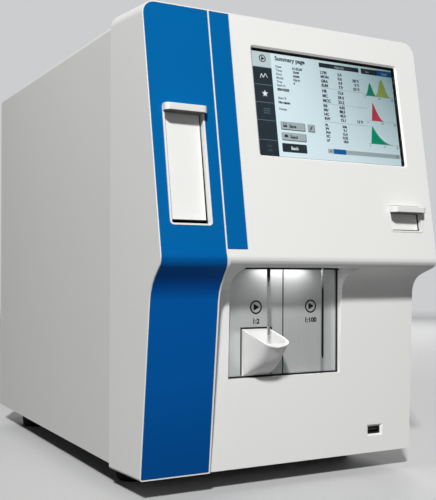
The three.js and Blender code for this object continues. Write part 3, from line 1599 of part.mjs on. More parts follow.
add('diluent_port', reagentPort(portPlaces[0]), blue);
add('lyse_port', reagentPort(portPlaces[1]), white);
add('waste_port', reagentPort(portPlaces[2]), grey);
const rearSocketY = panelOutsideY + usb.flangeThickness + usb.recess;
const rearSocket = usbSocket(rearUsb.x, rearSocketY, onBase(rearUsb.baseHeight), -1);
const rearUsbFlange = usbFlange(rearUsb.x, panelOutsideY, onBase(rearUsb.baseHeight));
add('rear_usb_socket', join(rearSocket, rearUsbFlange), black);

// Fluid system, on an upright plate inside the housing

const plateLeft = fluidics.x - fluidics.sheet;
const seatX = plateLeft - fit;

function fluidicsPlate() {
  const y0 = back(fluidics.frontSetback);
  const y1 = back(fluidics.rearSetback);
  const upright = block(plateLeft, fluidics.x, y0, y1, onBase(floorHeight), up(fluidics.topHeight));
  const floorZ = onBase(floorHeight);
  const footing = block(plateLeft, fluidics.x + fluidics.foot, y0, y1, floorZ, floorZ + fluidics.sheet);
  return join(upright, footing);
}

function shearValve() {
  const y = back(shear.setback);
  const z = up(shear.height);
  const half = shear.side / 2;
  const body = block(seatX - shear.depth, seatX, y - half, y + half, z - half, z + half);
  const bossEnd = seatX - shear.depth - fluidics.sheet;
  const boss = rodX(shear.discRadius - fluidics.sheet, y, z, bossEnd, seatX - shear.depth + fit, roundSides);
  return join(body, boss);
}

function shearRotor() {
  const y = back(shear.setback);
  const z = up(shear.height);
  const x1 = seatX - shear.depth - fluidics.sheet - fit;
  const x0 = x1 - shear.discThickness;
  const disc = rodX(shear.discRadius, y, z, x0, x1, roundSides);
  const armHalf = shear.armWidth / 2;
  const arm = block(x0, x1, y - armHalf, y + armHalf, z, z + shear.discRadius + shear.arm);
  const hub = rodX(shear.armWidth, y, z, x0 - shear.armWidth / 2, x0 + fit);
  return join(disc, arm, hub);
}

function countingChamber(index) {
  const y = back(chamber.firstSetback + index * chamber.spacing);
  const half = chamber.side / 2;
  const x = seatX - half;
  const bottom = up(chamber.bottomHeight);
  const top = bottom + chamber.height;
  const outline = rounded(rectangle(x - half, x + half, y - half, y + half, 0));
  const bore = rodZ(chamber.boreRadius, x, y, top - chamber.boreDepth, top + overrun, roundSides);
  const nozzle = rodZ(chamber.boreRadius / 4, x, y, bottom - chamber.boreRadius, bottom + fit);
  return join(alongZ(outline, bottom, top).subtract(bore), nozzle);
}

function meteringTubes() {
  const y = back(tubes.setback);
  const bottom = up(tubes.bottomHeight);
  const half = tubes.width / 2;
  const cap = (z) => block(seatX - tubes.depth, seatX, y - half, y + half, z, z + tubes.blockHeight);
  const tube = (offset) => rodZ(tubes.radius, seatX - tubes.depth / 2, y + offset, bottom + fit,
    bottom + tubes.length + tubes.blockHeight - fit);
  return join(cap(bottom), cap(bottom + tubes.length), tube(-tubes.spacing / 2), tube(tubes.spacing / 2));
}

function motorPump(sizes, head) {
  const y = back(sizes.setback);
  const axisZ0 = onBase(floorHeight) + sizes.foot + Math.max(sizes.radius, sizes.headDepth);
  const y0 = y - sizes.length / 2;
  const motor = rodY(sizes.radius, sizes.x, axisZ0, y0, y0 + sizes.length, roundSides);
  const saddle = block(sizes.x - sizes.radius / 2, sizes.x + sizes.radius / 2, y0, y0 + sizes.length,
    onBase(floorHeight), axisZ0 - sizes.radius / 2);
  const footing = block(sizes.x - sizes.footWidth / 2, sizes.x + sizes.footWidth / 2, y0, y0 + sizes.length,
    onBase(floorHeight), onBase(floorHeight) + sizes.foot);
  return join(motor, saddle, footing, head(y0, axisZ0));
}

function vacuumPump() {
  return motorPump(pump, (y0, z) => {
    const half = pump.headSide / 2;
    return block(pump.x - half, pump.x + half, y0 - pump.headDepth, y0 + fit, z - half + pump.foot, z + half);
  });
}

function reagentPump() {
  return motorPump(liquidPump, (y0, z) => (
    rodY(
      liquidPump.headRadius - liquidPump.foot, liquidPump.x, z,
      y0 - liquidPump.headDepth, y0 + fit, roundSides,
    )
  ));
}

function valveBank() {
  const z = up(valves.height);
  const first = back(valves.firstSetback);
  const length = valves.pitch * (valves.count - 1) + valves.bar;
  const bar = block(seatX - valves.barThickness, seatX, first - valves.bar / 2, first - valves.bar / 2 + length,
    z - valves.bar / 2, z + valves.bar / 2);
  const coils = Array.from({ length: valves.count }, (_, k) => {
    const y = first + k * valves.pitch;
    const end = seatX - valves.barThickness - valves.coilLength;
    return join(
      rodX(valves.coilRadius, y, z, end, seatX - valves.barThickness + fit),
      rodX(valves.coilRadius / 2, y, z, end - valves.coilRadius / 2, end + fit),
    );
  });
  return join(bar, ...coils);
}

add('fluidics_plate', fluidicsPlate(), zinc);
add('shear_valve_body', shearValve(), steel);
add('shear_valve_rotor', shearRotor(), white);
add('wbc_chamber', countingChamber(0), clear);
add('rbc_chamber', countingChamber(1), clear);
add('metering_tubes', meteringTubes(), clear);
add('vacuum_pump', vacuumPump(), black);
add('liquid_pump', reagentPump(), grey);
add('pinch_valve_bank', valveBank(), grey);

// Electronics, on the other side of the plate

function powerSupply() {
  const half = supply.width / 2;
  const y0 = back(supply.setback);
  const bottom = onBase(floorHeight);
  const top = bottom + supply.height;
  const box = block(supply.x - half, supply.x + half, y0, y0 + supply.length, bottom, top);
  const slots = Array.from({ length: supply.slotCount }, (_, k) => {
    const y = y0 + supply.length / 2 + (k - (supply.slotCount - 1) / 2) * supply.slotPitch;
    return block(
      supply.x - half / 2, supply.x + half / 2, y, y + supply.slotWidth, top - supply.wall, top + overrun,
    );
  });
  return cut(box, ...slots);
}

function mainBoard() {
  const x0 = fluidics.x + fit;
  const sheetX = x0 + board.standoff;
  const y0 = back(board.setback);
  const z0 = up(board.bottomHeight);
  const outer = sheetX + board.thickness;
  const sheet = block(sheetX, outer, y0, y0 + board.length, z0, z0 + board.height);
  const inset0 = board.standoffRadius * 2;
  const legs = [y0 + inset0, y0 + board.length - inset0].flatMap((y) => (
    [z0 + inset0, z0 + board.height - inset0].map((z) => rodX(board.standoffRadius, y, z, x0, sheetX + fit))
  ));
  const y = y0 + board.length / 2;
  const z = z0 + board.height / 2;
  const half = boardParts.chip / 2;
  const chip = block(outer - fit, outer + boardParts.chipHeight, y - half, y + half, z - half, z + half);
  const canPitch = boardParts.canRadius * 5 / 2;
  const cans = [1, 2, 3].map((k) => rodX(
    boardParts.canRadius, y + half + k * canPitch, z0 + boardParts.chip,
    outer - fit, outer + boardParts.canHeight,
  ));
  const plug = (z1) => block(
    outer - fit, outer + boardParts.plugHeight,
    y0 + boardParts.plugWidth, y0 + boardParts.plugWidth + boardParts.plugLength, z1, z1 + boardParts.plugWidth,
  );
  const plugs = [plug(z0 + boardParts.plugWidth), plug(z0 + board.height - boardParts.chip)];
  return join(sheet, ...legs, chip, ...cans, ...plugs);
}

add('power_supply', powerSupply(), zinc);
add('main_board', mainBoard(), green);

export default counter;
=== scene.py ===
import json
import math

import bmesh
import bpy
from mathutils import Matrix, Vector

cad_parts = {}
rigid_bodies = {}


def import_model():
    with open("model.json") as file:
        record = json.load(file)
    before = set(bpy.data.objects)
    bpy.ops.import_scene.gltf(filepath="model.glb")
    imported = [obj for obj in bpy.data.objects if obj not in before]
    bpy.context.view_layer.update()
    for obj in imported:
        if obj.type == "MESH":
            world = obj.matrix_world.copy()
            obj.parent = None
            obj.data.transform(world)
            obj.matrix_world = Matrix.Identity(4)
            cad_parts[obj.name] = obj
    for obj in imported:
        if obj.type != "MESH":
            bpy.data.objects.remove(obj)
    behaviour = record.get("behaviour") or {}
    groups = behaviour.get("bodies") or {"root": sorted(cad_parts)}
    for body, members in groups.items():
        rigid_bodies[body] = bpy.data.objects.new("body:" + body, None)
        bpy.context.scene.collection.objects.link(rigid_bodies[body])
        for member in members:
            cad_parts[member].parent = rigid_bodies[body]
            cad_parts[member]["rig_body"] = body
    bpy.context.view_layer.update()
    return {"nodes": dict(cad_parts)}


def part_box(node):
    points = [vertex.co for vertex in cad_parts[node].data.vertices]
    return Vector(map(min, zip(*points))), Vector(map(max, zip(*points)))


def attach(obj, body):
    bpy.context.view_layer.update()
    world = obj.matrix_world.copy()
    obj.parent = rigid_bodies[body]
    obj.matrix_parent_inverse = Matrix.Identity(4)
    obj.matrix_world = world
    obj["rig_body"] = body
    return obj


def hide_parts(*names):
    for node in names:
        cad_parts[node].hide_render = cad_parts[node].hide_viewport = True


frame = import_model()
scene = bpy.context.scene
nodes = frame["nodes"]
bodyOf = {name: thing["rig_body"] for name, thing in nodes.items()}
print("frame loaded,", len(nodes), "CAD nodes")

mm = 0.001

# Places shared by several pieces: heights run up from the bezel's lower edge, depths forward from its seam
body = {
    "seamY": -135.5,
    "lift": 17.0,
    "frontTopDepth": 58.6,
    "frontTopHeight": 390.363,
    "slope": 0.1698937,
}
display = {"centreX": 38.0, "centreHeight": 316.2, "width": 156.6, "height": 94.9}
# shadeFrom: depth inside the front, in mm, behind which the surrounds carry painted shade
tubeDoor = {"centreX": -111.8, "centreHeight": 256.0, "shadeFrom": 4.4}
drawer = {"centreX": 110.0, "centreHeight": 219.0, "shadeFrom": 3.8}


def at(x, depth, height):
    return Vector((x, body["seamY"] - depth, body["lift"] + height)) * mm


def frontDepth(height):
    return body["frontTopDepth"] + (body["frontTopHeight"] - height) * body["slope"]


def onFront(centreX, centreHeight):
    # frame of a piece that lies on the sloping front: x across, y inwards, z up the slope
    tilt = math.atan(body["slope"])
    place = at(centreX, frontDepth(centreHeight), centreHeight)
    return Matrix.Translation(place) @ Matrix.Rotation(-tilt, 4, "X")


def screenEdges():
    # left, right, low and high edge of the display window, in metres
    middle = at(display["centreX"], 0.0, display["centreHeight"])
    half = (display["width"] / 2 * mm, display["height"] / 2 * mm)
    return middle.x - half[0], middle.x + half[0], middle.z - half[1], middle.z + half[1]


# Shader nodes

def feed(tree, node, inputs):
    # each input, given by its label or place, takes a value or another node's output
    for key, value in inputs.items():
        if isinstance(value, bpy.types.NodeSocket):
            tree.links.new(value, node.inputs[key])
        else:
            node.inputs[key].default_value = value
    return node


def addNode(tree, kind, inputs, **settings):
    node = tree.nodes.new("ShaderNode" + kind)
    for key, value in settings.items():
        setattr(node, key, value)
    return feed(tree, node, inputs)


def noiseNode(tree, vector, scale, detail=2.0, rough=0.5):
    inputs = {"Vector": vector, "Scale": scale, "Detail": detail, "Roughness": rough}
    return addNode(tree, "TexNoise", inputs).outputs["Fac"]


def mathNode(tree, operation, first, second=0.0):
    return addNode(tree, "Math", {0: first, 1: second}, operation=operation).outputs[0]


def vectorNode(tree, operation, first, second=(0.0, 0.0, 0.0), output="Vector"):
    return addNode(tree, "VectorMath", {0: first, 1: second}, operation=operation).outputs[output]


def scaleVector(tree, vector, factor):
    inputs = {0: vector, "Scale": factor}
    return addNode(tree, "VectorMath", inputs, operation="SCALE").outputs["Vector"]


def addScaled(tree, base, value, factor):
    return mathNode(tree, "ADD", mathNode(tree, "MULTIPLY", value, factor), base)


def rangeNode(tree, value, low, high, newLow=0.0, newHigh=1.0, **settings):
    inputs = {"Value": value, "From Min": low, "From Max": high, "To Min": newLow, "To Max": newHigh}
    return addNode(tree, "MapRange", inputs, **settings).outputs["Result"]


def mixColours(tree, mask, first, second):
    # the first colour where the mask is 0, the second where it is 1
    return addNode(tree, "Mix", {"Factor": mask, 6: first, 7: second}, data_type="RGBA").outputs[2]


def coordinates(tree, kind="Object"):
    return addNode(tree, "TexCoord", {}).outputs[kind]


def alongAxis(tree, axis, kind="Object"):
    # one axis of the object coordinates, or of the normal
    return addNode(tree, "SeparateXYZ", {0: coordinates(tree, kind)}).outputs[axis]


def cameraRay(tree):
    return addNode(tree, "LightPath", {}).outputs["Is Camera Ray"]


# Node groups for effects that several materials share

def newGroup(name, inputs, outputs):
    group = bpy.data.node_groups.new(name, "ShaderNodeTree")
    for label, value in inputs.items():
        kind = "Float" if isinstance(value, float) else {3: "Vector", 4: "Color"}[len(value)]
        socket = group.interface.new_socket(label, in_out="INPUT", socket_type="NodeSocket" + kind)
        socket.default_value = value
    for label in outputs:
        kind = "Color" if label == "Colour" else "Float"
        group.interface.new_socket(label, in_out="OUTPUT", socket_type="NodeSocket" + kind)
    given = group.nodes.new("NodeGroupInput").outputs
    leave = group.nodes.new("NodeGroupOutput")
    return group, given, leave


moulding = {
    "broad": {"scale": 9.0, "detail": 4.0, "rough": 0.55},
    "smears": {"scale": 46.0, "detail": 3.0, "rough": 0.6},
    "broadShare": 0.6,
    "smearShare": 0.4,
    "roughnessDrift": 0.1,
    "toneDrift": 0.03,
}


def makeSurfaceGrain():
    # moulded or sprayed grain: a fine height, with roughness and tone that drift a little
    group, given, leave = newGroup("surfaceGrain", {
        "Colour": (0.8, 0.8, 0.8, 1), "Grain Scale": 2200.0, "Roughness": 0.4,
        "Roughness Drift": moulding["roughnessDrift"], "Tone Drift": moulding["toneDrift"],
    }, ("Colour", "Roughness", "Height"))
    coords = coordinates(group)
    broad = mathNode(group, "MULTIPLY", noiseNode(group, coords, **moulding["broad"]), moulding["broadShare"])
    mixed = addScaled(group, broad, noiseNode(group, coords, **moulding["smears"]), moulding["smearShare"])
    centred = mathNode(group, "SUBTRACT", mixed, 0.5)
    feed(group, leave, {
        "Colour": scaleVector(group, given["Colour"], addScaled(group, 1.0, centred, given["Tone Drift"])),
        "Roughness": addScaled(group, given["Roughness"], centred, given["Roughness Drift"]),
        "Height": noiseNode(group, coords, given["Grain Scale"]),
    })
    return group


brushedMetal = {
    "scratches": {"scale": 1.0, "detail": 4.0, "rough": 0.65},
    "blotches": {"scale": 30.0, "detail": 3.0, "rough": 0.5},
    "scratchRoughness": 0.2,
    "blotchRoughness": 0.1,
    "contrast": 0.15,
    "bumpDepth": 0.004,
    "bumpStrength": 0.4,
}


def makeBrushing():
    # brushed metal: long fine scratches along one axis, set by how far each axis is stretched
    group, given, leave = newGroup("brushing", {
        "Stretch": (900.0, 900.0, 14.0), "Colour": (0.5, 0.5, 0.5, 1), "Roughness": 0.35,
        "Contrast": brushedMetal["contrast"],
    }, ("Colour", "Roughness", "Height"))
    coords = coordinates(group)
    stretched = vectorNode(group, "MULTIPLY", coords, given["Stretch"])
    scratches = noiseNode(group, stretched, **brushedMetal["scratches"])
    centred = mathNode(group, "SUBTRACT", scratches, 0.5)
    blotches = mathNode(group, "SUBTRACT", noiseNode(group, coords, **brushedMetal["blotches"]), 0.5)
    roughness = addScaled(group, given["Roughness"], centred, brushedMetal["scratchRoughness"])
    feed(group, leave, {
        "Colour": scaleVector(group, given["Colour"], addScaled(group, 1.0, centred, given["Contrast"])),
        "Roughness": addScaled(group, roughness, blotches, brushedMetal["blotchRoughness"]),
        "Height": scratches,
    })
    return group


glow = {
    "cornerTint": (0.13, 0.22, 0.22),
    "fadePower": 1.4,
    "lowShare": 0.35,
    "pixelPitch": 0.0002,
    "pixelShare": 0.85,
    "gridDepth": 0.12,
}


def makeScreenGlow():
    # light of a backlit picture: it fades towards its upper right, and shows a fine grid of pixels
    group, given, leave = newGroup("screenGlow", {
        "Colour": (0.8, 0.8, 0.8, 1), "Corner Tint": (*glow["cornerTint"], 1),
        "Pixel Pitch": glow["pixelPitch"], "Grid Depth": glow["gridDepth"],
    }, ("Colour",))
    x, z = alongAxis(group, "X"), alongAxis(group, "Z")
    left, right, low, high = screenEdges()
    across = mathNode(group, "POWER", rangeNode(group, x, left, right), glow["fadePower"])
    corner = mathNode(group, "MULTIPLY", across, rangeNode(group, z, low, high, newLow=glow["lowShare"]))
    tint = mixColours(group, corner, (1, 1, 1, 1), given["Corner Tint"])
    lines = 0.0
    for axis in (x, z):
        turns = mathNode(group, "DIVIDE", axis, given["Pixel Pitch"])
        gap = mathNode(group, "GREATER_THAN", mathNode(group, "FRACT", turns), glow["pixelShare"])
        lines = mathNode(group, "MAXIMUM", lines, gap)
    bright = mathNode(group, "SUBTRACT", 1.0, mathNode(group, "MULTIPLY", lines, given["Grid Depth"]))
    faded = vectorNode(group, "MULTIPLY", given["Colour"], tint)
    feed(group, leave, {"Colour": scaleVector(group, faded, bright)})
    return group


# painted shade: the black that darkens the gaps round moving panels
paintedGapShade = (0.006, 0.006, 0.006, 1)


def makeGapShadeGroup():
    # painted shade: moulding turned black behind a plane, so that the gaps round a moving panel look dark
    group, given, leave = newGroup("gapShadeGroup", {
        "Colour": (0.8, 0.8, 0.8, 1), "Inward": (0.0, 1.0, 0.0), "Start": 0.0, "Blend": 0.0008,
    }, ("Colour",))
    reach = vectorNode(group, "DOT_PRODUCT", coordinates(group), given["Inward"], "Value")
    mask = rangeNode(group, reach, given["Start"], mathNode(group, "ADD", given["Start"], given["Blend"]))
    feed(group, leave, {"Colour": mixColours(group, mask, given["Colour"], paintedGapShade)})
    return group


surfaceGrain = makeSurfaceGrain()
brushing = makeBrushing()
gapShadeGroup = makeGapShadeGroup()
screenGlow = makeScreenGlow()


# Materials

def newMaterial(name, sockets):
    material = bpy.data.materials.new(name)
    material.use_nodes = True
    tree = material.node_tree
    return material, tree, feed(tree, tree.nodes["Principled BSDF"], sockets)


def finishMaterial(name, group, values, bumpDepth, bumpStrength, sockets):
    material, tree, shader = newMaterial(name, sockets)
    finish = addNode(tree, "Group", values, node_tree=group, name="finish").outputs
    relief = {"Height": finish["Height"], "Distance": bumpDepth * mm, "Strength": bumpStrength}
    bump = addNode(tree, "Bump", relief).outputs["Normal"]
    feed(tree, shader, {"Base Color": finish["Colour"], "Roughness": finish["Roughness"], "Normal": bump})
    return material


def grainMaterial(name, colour, roughness, grainScale, bumpDepth, bumpStrength=0.5,
                  toneDrift=moulding["toneDrift"], sockets=None):
    return finishMaterial(name, surfaceGrain, {
        "Colour": (*colour, 1), "Grain Scale": grainScale, "Roughness": roughness, "Tone Drift": toneDrift,
    }, bumpDepth, bumpStrength, sockets or {})


def brushedMaterial(name, colour, roughness, stretch, metallic):
    values = {"Colour": (*colour, 1), "Roughness": roughness, "Stretch": stretch}
    depth, strength = brushedMetal["bumpDepth"], brushedMetal["bumpStrength"]
    return finishMaterial(name, brushing, values, depth, strength, {"Metallic": metallic})


def paintFinish(material, colour):
    # the shader's colour comes from another node than the finish alone
    tree = material.node_tree
    feed(tree, tree.nodes["Principled BSDF"], {"Base Color": colour})
    return material


whiteMoulding = {
    "colour": (0.80, 0.80, 0.79),
    "roughness": 0.4,
    "grainScale": 2600.0,
    "bumpDepth": 0.02,
    "bumpStrength": 0.35,
}
whitePlastic = grainMaterial("whitePlastic", **whiteMoulding)
housingPaint = grainMaterial(
    "housingPaint", colour=(0.73, 0.735, 0.725), roughness=0.6, grainScale=1500.0, bumpDepth=0.04,
    sockets={"Specular IOR Level": 0.35},
)

# the film's blue by height above the ground, in metres, with painted shade under the overhang
film = {
    "height": 0.25,
    "stops": (
        (0.035, (0.0, 0.063, 0.255)),
        (0.100, (0.0, 0.083, 0.322)),
        (0.164, (0.0, 0.088, 0.340)),
        # painted shade under the overhang
        (0.177, (0.0, 0.068, 0.308)),
        (0.187, (0.0, 0.070, 0.302)),
        (0.202, (0.0, 0.114, 0.362)),
        (0.230, (0.0, 0.117, 0.352)),
    ),
}


def filmMaterial():
    # printed film: its blue carries painted shade under the overhang, and is darker towards its foot
    material = grainMaterial(
        "blueFilm", colour=(0.0, 0.1, 0.33), roughness=0.4, grainScale=3200.0, bumpDepth=0.01,
        bumpStrength=0.25, toneDrift=0.04, sockets={"Specular IOR Level": 0.08},
    )
    tree = material.node_tree
    rise = mathNode(tree, "DIVIDE", alongAxis(tree, "Z"), film["height"])
    ramp = addNode(tree, "ValToRGB", {"Fac": rise})
    elements = ramp.color_ramp.elements
    while len(elements) < len(film["stops"]):
        elements.new(1.0)
    for element, (height, colour) in zip(elements, film["stops"]):
        element.position = height / film["height"]
        element.color = (*colour, 1)
    feed(tree, tree.nodes["finish"], {"Colour": ramp.outputs["Color"]})
    return material


blueFilm = filmMaterial()
cupPlastic = grainMaterial(
    "cupPlastic", colour=(0.80, 0.80, 0.795), roughness=0.45, grainScale=2000.0, bumpDepth=0.02,
    bumpStrength=0.25,
    sockets={"Subsurface Weight": 0.3, "Subsurface Scale": 0.003, "Subsurface Radius": (1.0, 1.0, 1.0)},
)

# painted shade on downward faces: where a face's normal starts and ends turning dark, and how dark
undersideShade = {"start": -0.55, "end": -0.9, "dark": (0.12, 0.12, 0.115, 1)}


def panelMaterial():
    # white moulding with painted shade on its downward faces, under the finger lip
    material = grainMaterial("panelPlastic", **whiteMoulding)
    tree = material.node_tree
    mask = rangeNode(tree, alongAxis(tree, "Z", "Normal"), undersideShade["start"], undersideShade["end"])
    colour = tree.nodes["finish"].outputs["Colour"]
    return paintFinish(material, mixColours(tree, mask, colour, undersideShade["dark"]))


def gapShadeMaterial(name, inward, start):
    # white moulding with painted shade: it turns black where its distance along the inward direction passes
    # the start
    material = grainMaterial(name, **whiteMoulding)
    tree = material.node_tree
    values = {"Inward": inward, "Start": start, "Colour": tree.nodes["finish"].outputs["Colour"]}
    dark = addNode(tree, "Group", values, node_tree=gapShadeGroup)
    return paintFinish(material, dark.outputs["Colour"])


def frontGapShadeMaterial(name, panel):
    # the same, with the plane parallel to the sloping front, at a depth inside it
    place = onFront(0.0, panel["centreHeight"])
    inward = place.to_3x3() @ Vector((0, 1, 0))
    return gapShadeMaterial(name, inward, inward.dot(place.translation) + panel["shadeFrom"] * mm)


# depth behind which the alcove lining carries painted shade, so the gaps round the plates look dark
linerShadeDepth = 54.3
panelPlastic = panelMaterial()
doorSurroundPlastic = frontGapShadeMaterial("doorSurroundPlastic", tubeDoor)
drawerSurroundPlastic = frontGapShadeMaterial("drawerSurroundPlastic", drawer)
linerPlastic = gapShadeMaterial("linerPlastic", Vector((0, 1, 0)), at(0, linerShadeDepth, 0).y)
printInk = grainMaterial(
    "printInk", colour=(0.006, 0.006, 0.008), roughness=0.8, grainScale=2400.0, bumpDepth=0.01,
    sockets={"Specular IOR Level": 0.1},
)
acrylic = grainMaterial(
    "acrylic", colour=(0.80, 0.86, 0.88), roughness=0.12, grainScale=600.0, bumpDepth=0.004, bumpStrength=0.2,
    sockets={"Transmission Weight": 0.6},
)

# colour, roughness, grain scale and bump depth
plainFinishes = {
    "blackPlastic": ((0.016, 0.017, 0.019), 0.46, 1800.0, 0.03),
    # rubber for the feet and the display's gasket, and black for the seam's dark band and the strips of
    # painted shade in the gaps
    "rubberAndShade": ((0.012, 0.012, 0.012), 0.78, 1200.0, 0.05),
    "greyPlastic": ((0.24, 0.26, 0.27), 0.48, 1900.0, 0.03),
    "circuitGreen": ((0.012, 0.10, 0.045), 0.38, 900.0, 0.03),
    "bluePart": ((0.01, 0.13, 0.42), 0.4, 1800.0, 0.02),
    "markInk": ((0.78, 0.78, 0.77), 0.5, 2400.0, 0.01),
}
blackPlastic, rubberAndShade, greyPlastic, circuitGreen, bluePart, markInk = (
    grainMaterial(name, *values) for name, values in plainFinishes.items()
)

# colour, roughness, how far the scratches are stretched across each axis, and metallic
drawnTube = (700.0, 700.0, 40.0)
brushedFinishes = {
    "platedSteel": ((0.58, 0.59, 0.60), 0.36, (40.0, 420.0, 420.0), 1.0),
    "screwSteel": ((0.50, 0.51, 0.52), 0.3, (1500.0, 300.0, 1500.0), 1.0),
    "contactGold": ((0.72, 0.50, 0.20), 0.3, (900.0, 60.0, 900.0), 1.0),
    "probeSteel": ((0.62, 0.63, 0.62), 0.30, drawnTube, 0.8),
}
platedSteel, screwSteel, contactGold, probeSteel = (
    brushedMaterial(name, *values) for name, values in brushedFinishes.items()
)

# colours below and above the heights, in metres, between which a needle's colour changes
needles = {
    "bloodNeedle": {"low": (0.62, 0.62, 0.61), "high": (0.03, 0.03, 0.03), "split": (0.1785, 0.1835)},
    "diluteNeedle": {"low": (0.035, 0.035, 0.033), "high": (0.78, 0.78, 0.75), "split": (0.172, 0.182)},
}


def needleMaterial(name):
    # drawn tube whose colour changes between two heights
    tone = needles[name]
    material = brushedMaterial(name, colour=tone["low"], roughness=0.28, stretch=drawnTube, metallic=0.85)
    tree = material.node_tree
    mask = rangeNode(tree, alongAxis(tree, "Z"), *tone["split"])
    colour = mixColours(tree, mask, (*tone["low"], 1), (*tone["high"], 1))
    feed(tree, tree.nodes["finish"], {"Colour": colour})
    return material


bloodNeedle = needleMaterial("bloodNeedle")
diluteNeedle = needleMaterial("diluteNeedle")
# painted shade on faces that point sideways: where it starts, where it ends, and how dark
plateGapShade = {"start": 0.6, "end": 0.85, "dark": (0.02, 0.02, 0.02, 1)}


def plateMaterial():
    # brushed sheet with painted shade on its sideways faces, so the gaps beside the plates look dark
    material = brushedMaterial(
        "plateSteel", colour=(0.66, 0.69, 0.685), roughness=0.45, stretch=(1100.0, 1100.0, 18.0),
        metallic=0.6,
    )
    tree = material.node_tree
    sideways = mathNode(tree, "ABSOLUTE", alongAxis(tree, "X", "Normal"))
    mask = rangeNode(tree, sideways, plateGapShade["start"], plateGapShade["end"])
    colour = tree.nodes["finish"].outputs["Colour"]
    return paintFinish(material, mixColours(tree, mask, colour, plateGapShade["dark"]))


plateSteel = plateMaterial()
print("materials made")


# Building tools

def meshFromBmesh(name, made):
    mesh = bpy.data.meshes.new(name)
    made.to_mesh(mesh)
    made.free()
    return mesh


def addObject(name, data):
    thing = bpy.data.objects.new(name, data)
    scene.collection.objects.link(thing)
    return thing


def newPiece(name, mesh, material, ridesOn):
    piece = addObject(name, mesh)
    mesh.materials.append(material)
    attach(piece, ridesOn)
    return piece


def smooth(mesh, angle):
    for polygon in mesh.polygons:
        polygon.use_smooth = True
    mesh.set_sharp_from_angle(angle=math.radians(angle))


edges = {"weld": 0.00002, "flatAngle": 0.4, "angle": 34.0, "segments": 3, "normalWeight": 60}


def cadCopy(node, name, material):
    # a copy of a CAD node's mesh, with its flat faces joined up, that stands for the node
    made = bmesh.new()
    made.from_mesh(nodes[node].data)
    bmesh.ops.remove_doubles(made, verts=made.verts, dist=edges["weld"])
    bmesh.ops.dissolve_limit(
        made, angle_limit=math.radians(edges["flatAngle"]), verts=made.verts, edges=made.edges,
        use_dissolve_boundaries=False,
    )
    piece = newPiece(name, meshFromBmesh(name, made), material, bodyOf[node])
    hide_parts(node)
    return piece


def roundEdges(piece, width):
    smooth(piece.data, edges["angle"])
    bevel = piece.modifiers.new("edges", "BEVEL")
    bevel.width = width * mm
    bevel.segments = edges["segments"]
    bevel.limit_method = "ANGLE"
    bevel.angle_limit = math.radians(edges["angle"])
    bevel.use_clamp_overlap = True
    bevel.miter_outer = "MITER_ARC"
    normals = piece.modifiers.new("normals", "WEIGHTED_NORMAL")
    normals.keep_sharp = True
    normals.weight = edges["normalWeight"]


def paint(material, *names):
    for name in names:
        piece = nodes[name]
        piece.data.materials.clear()
        piece.data.materials.append(material)


# CAD nodes that get rounded edges: the new piece, its material and slot, and the width of its edges in mm

roundedPieces = {
    "front_bezel": ("bezelShell", whitePlastic, "moulded_white", 1.6),
    "blue_side_panel": ("blueSideFilm", blueFilm, "blue_film", 0.3),
    "blue_trim_strip": ("blueTrimFilm", blueFilm, "blue_film", 0.3),
    "tube_door_frame": ("tubeDoorSurround", doorSurroundPlastic, "moulded_white", 0.4),
    "tube_door": ("tubeDoorPanel", panelPlastic, "moulded_white", 0.5),
    "pipette_drawer_frame": ("drawerSurround", drawerSurroundPlastic, "moulded_white", 0.4),
    "pipette_drawer": ("drawerFront", panelPlastic, "moulded_white", 0.5),
    "alcove_liner": ("alcoveLining", linerPlastic, "moulded_white", 0.5),
    "drip_cup": ("dripCup", cupPlastic, "moulded_white", 0.5),
    "left_start_plate": ("leftStartPlate", plateSteel, "stainless_steel", 0.3),
    "right_start_plate": ("rightStartPlate", plateSteel, "stainless_steel", 0.3),
    "housing_cover": ("housingShell", housingPaint, "painted_housing", 0.8),
    "rear_panel": ("rearPlate", housingPaint, "painted_housing", 0.3),
    "power_inlet": ("powerInlet", blackPlastic, "black_plastic", 0.4),
    "power_switch": ("rockerKey", blackPlastic, "black_plastic", 0.4),
}
for node, (name, material, slotName, width) in roundedPieces.items():
    roundEdges(cadCopy(node, name, material), width)

paint(rubberAndShade, "display_gasket", "foot_front_left", "foot_front_right", "foot_rear_left", "foot_rear_right")
paint(platedSteel, "lcd_module", "base_plate", "front_chassis", "probe_rail", "fluidics_plate",
      "power_supply")
paint(circuitGreen, "display_board", "main_board")
paint(probeSteel, "tube_door_pin", "start_plate_rod", "shear_valve_body")
paint(bloodNeedle, "whole_blood_probe")
paint(diluteNeedle, "predilute_probe")
paint(screwSteel, "fan_guard")
paint(blackPlastic, "left_start_switch", "right_start_switch", "fan_frame", "fan_rotor", "vacuum_pump",
      "usb_socket", "rear_usb_socket")
paint(greyPlastic, "tube_holder", "pipette_adapter", "whole_blood_carriage", "predilute_carriage",
      "liquid_pump", "pinch_valve_bank", "waste_port")
paint(acrylic, "wbc_chamber", "rbc_chamber", "metering_tubes")
paint(whitePlastic, "lyse_port", "shear_valve_rotor")
paint(bluePart, "diluent_port")


# Light guide above the alcove, and the display glass

lamp = {
    "rod": (0.55, 0.57, 0.6, 1),
    "colour": (1.0, 0.955, 0.965),
    "strength": 12.5,
    "bands": {"scale": 90.0, "detail": 1.0, "rough": 0.5},
    "bandEdges": (0.35, 0.65),
    "dimmest": 0.7,
    "lowerSide": (-0.5, -0.9),
}


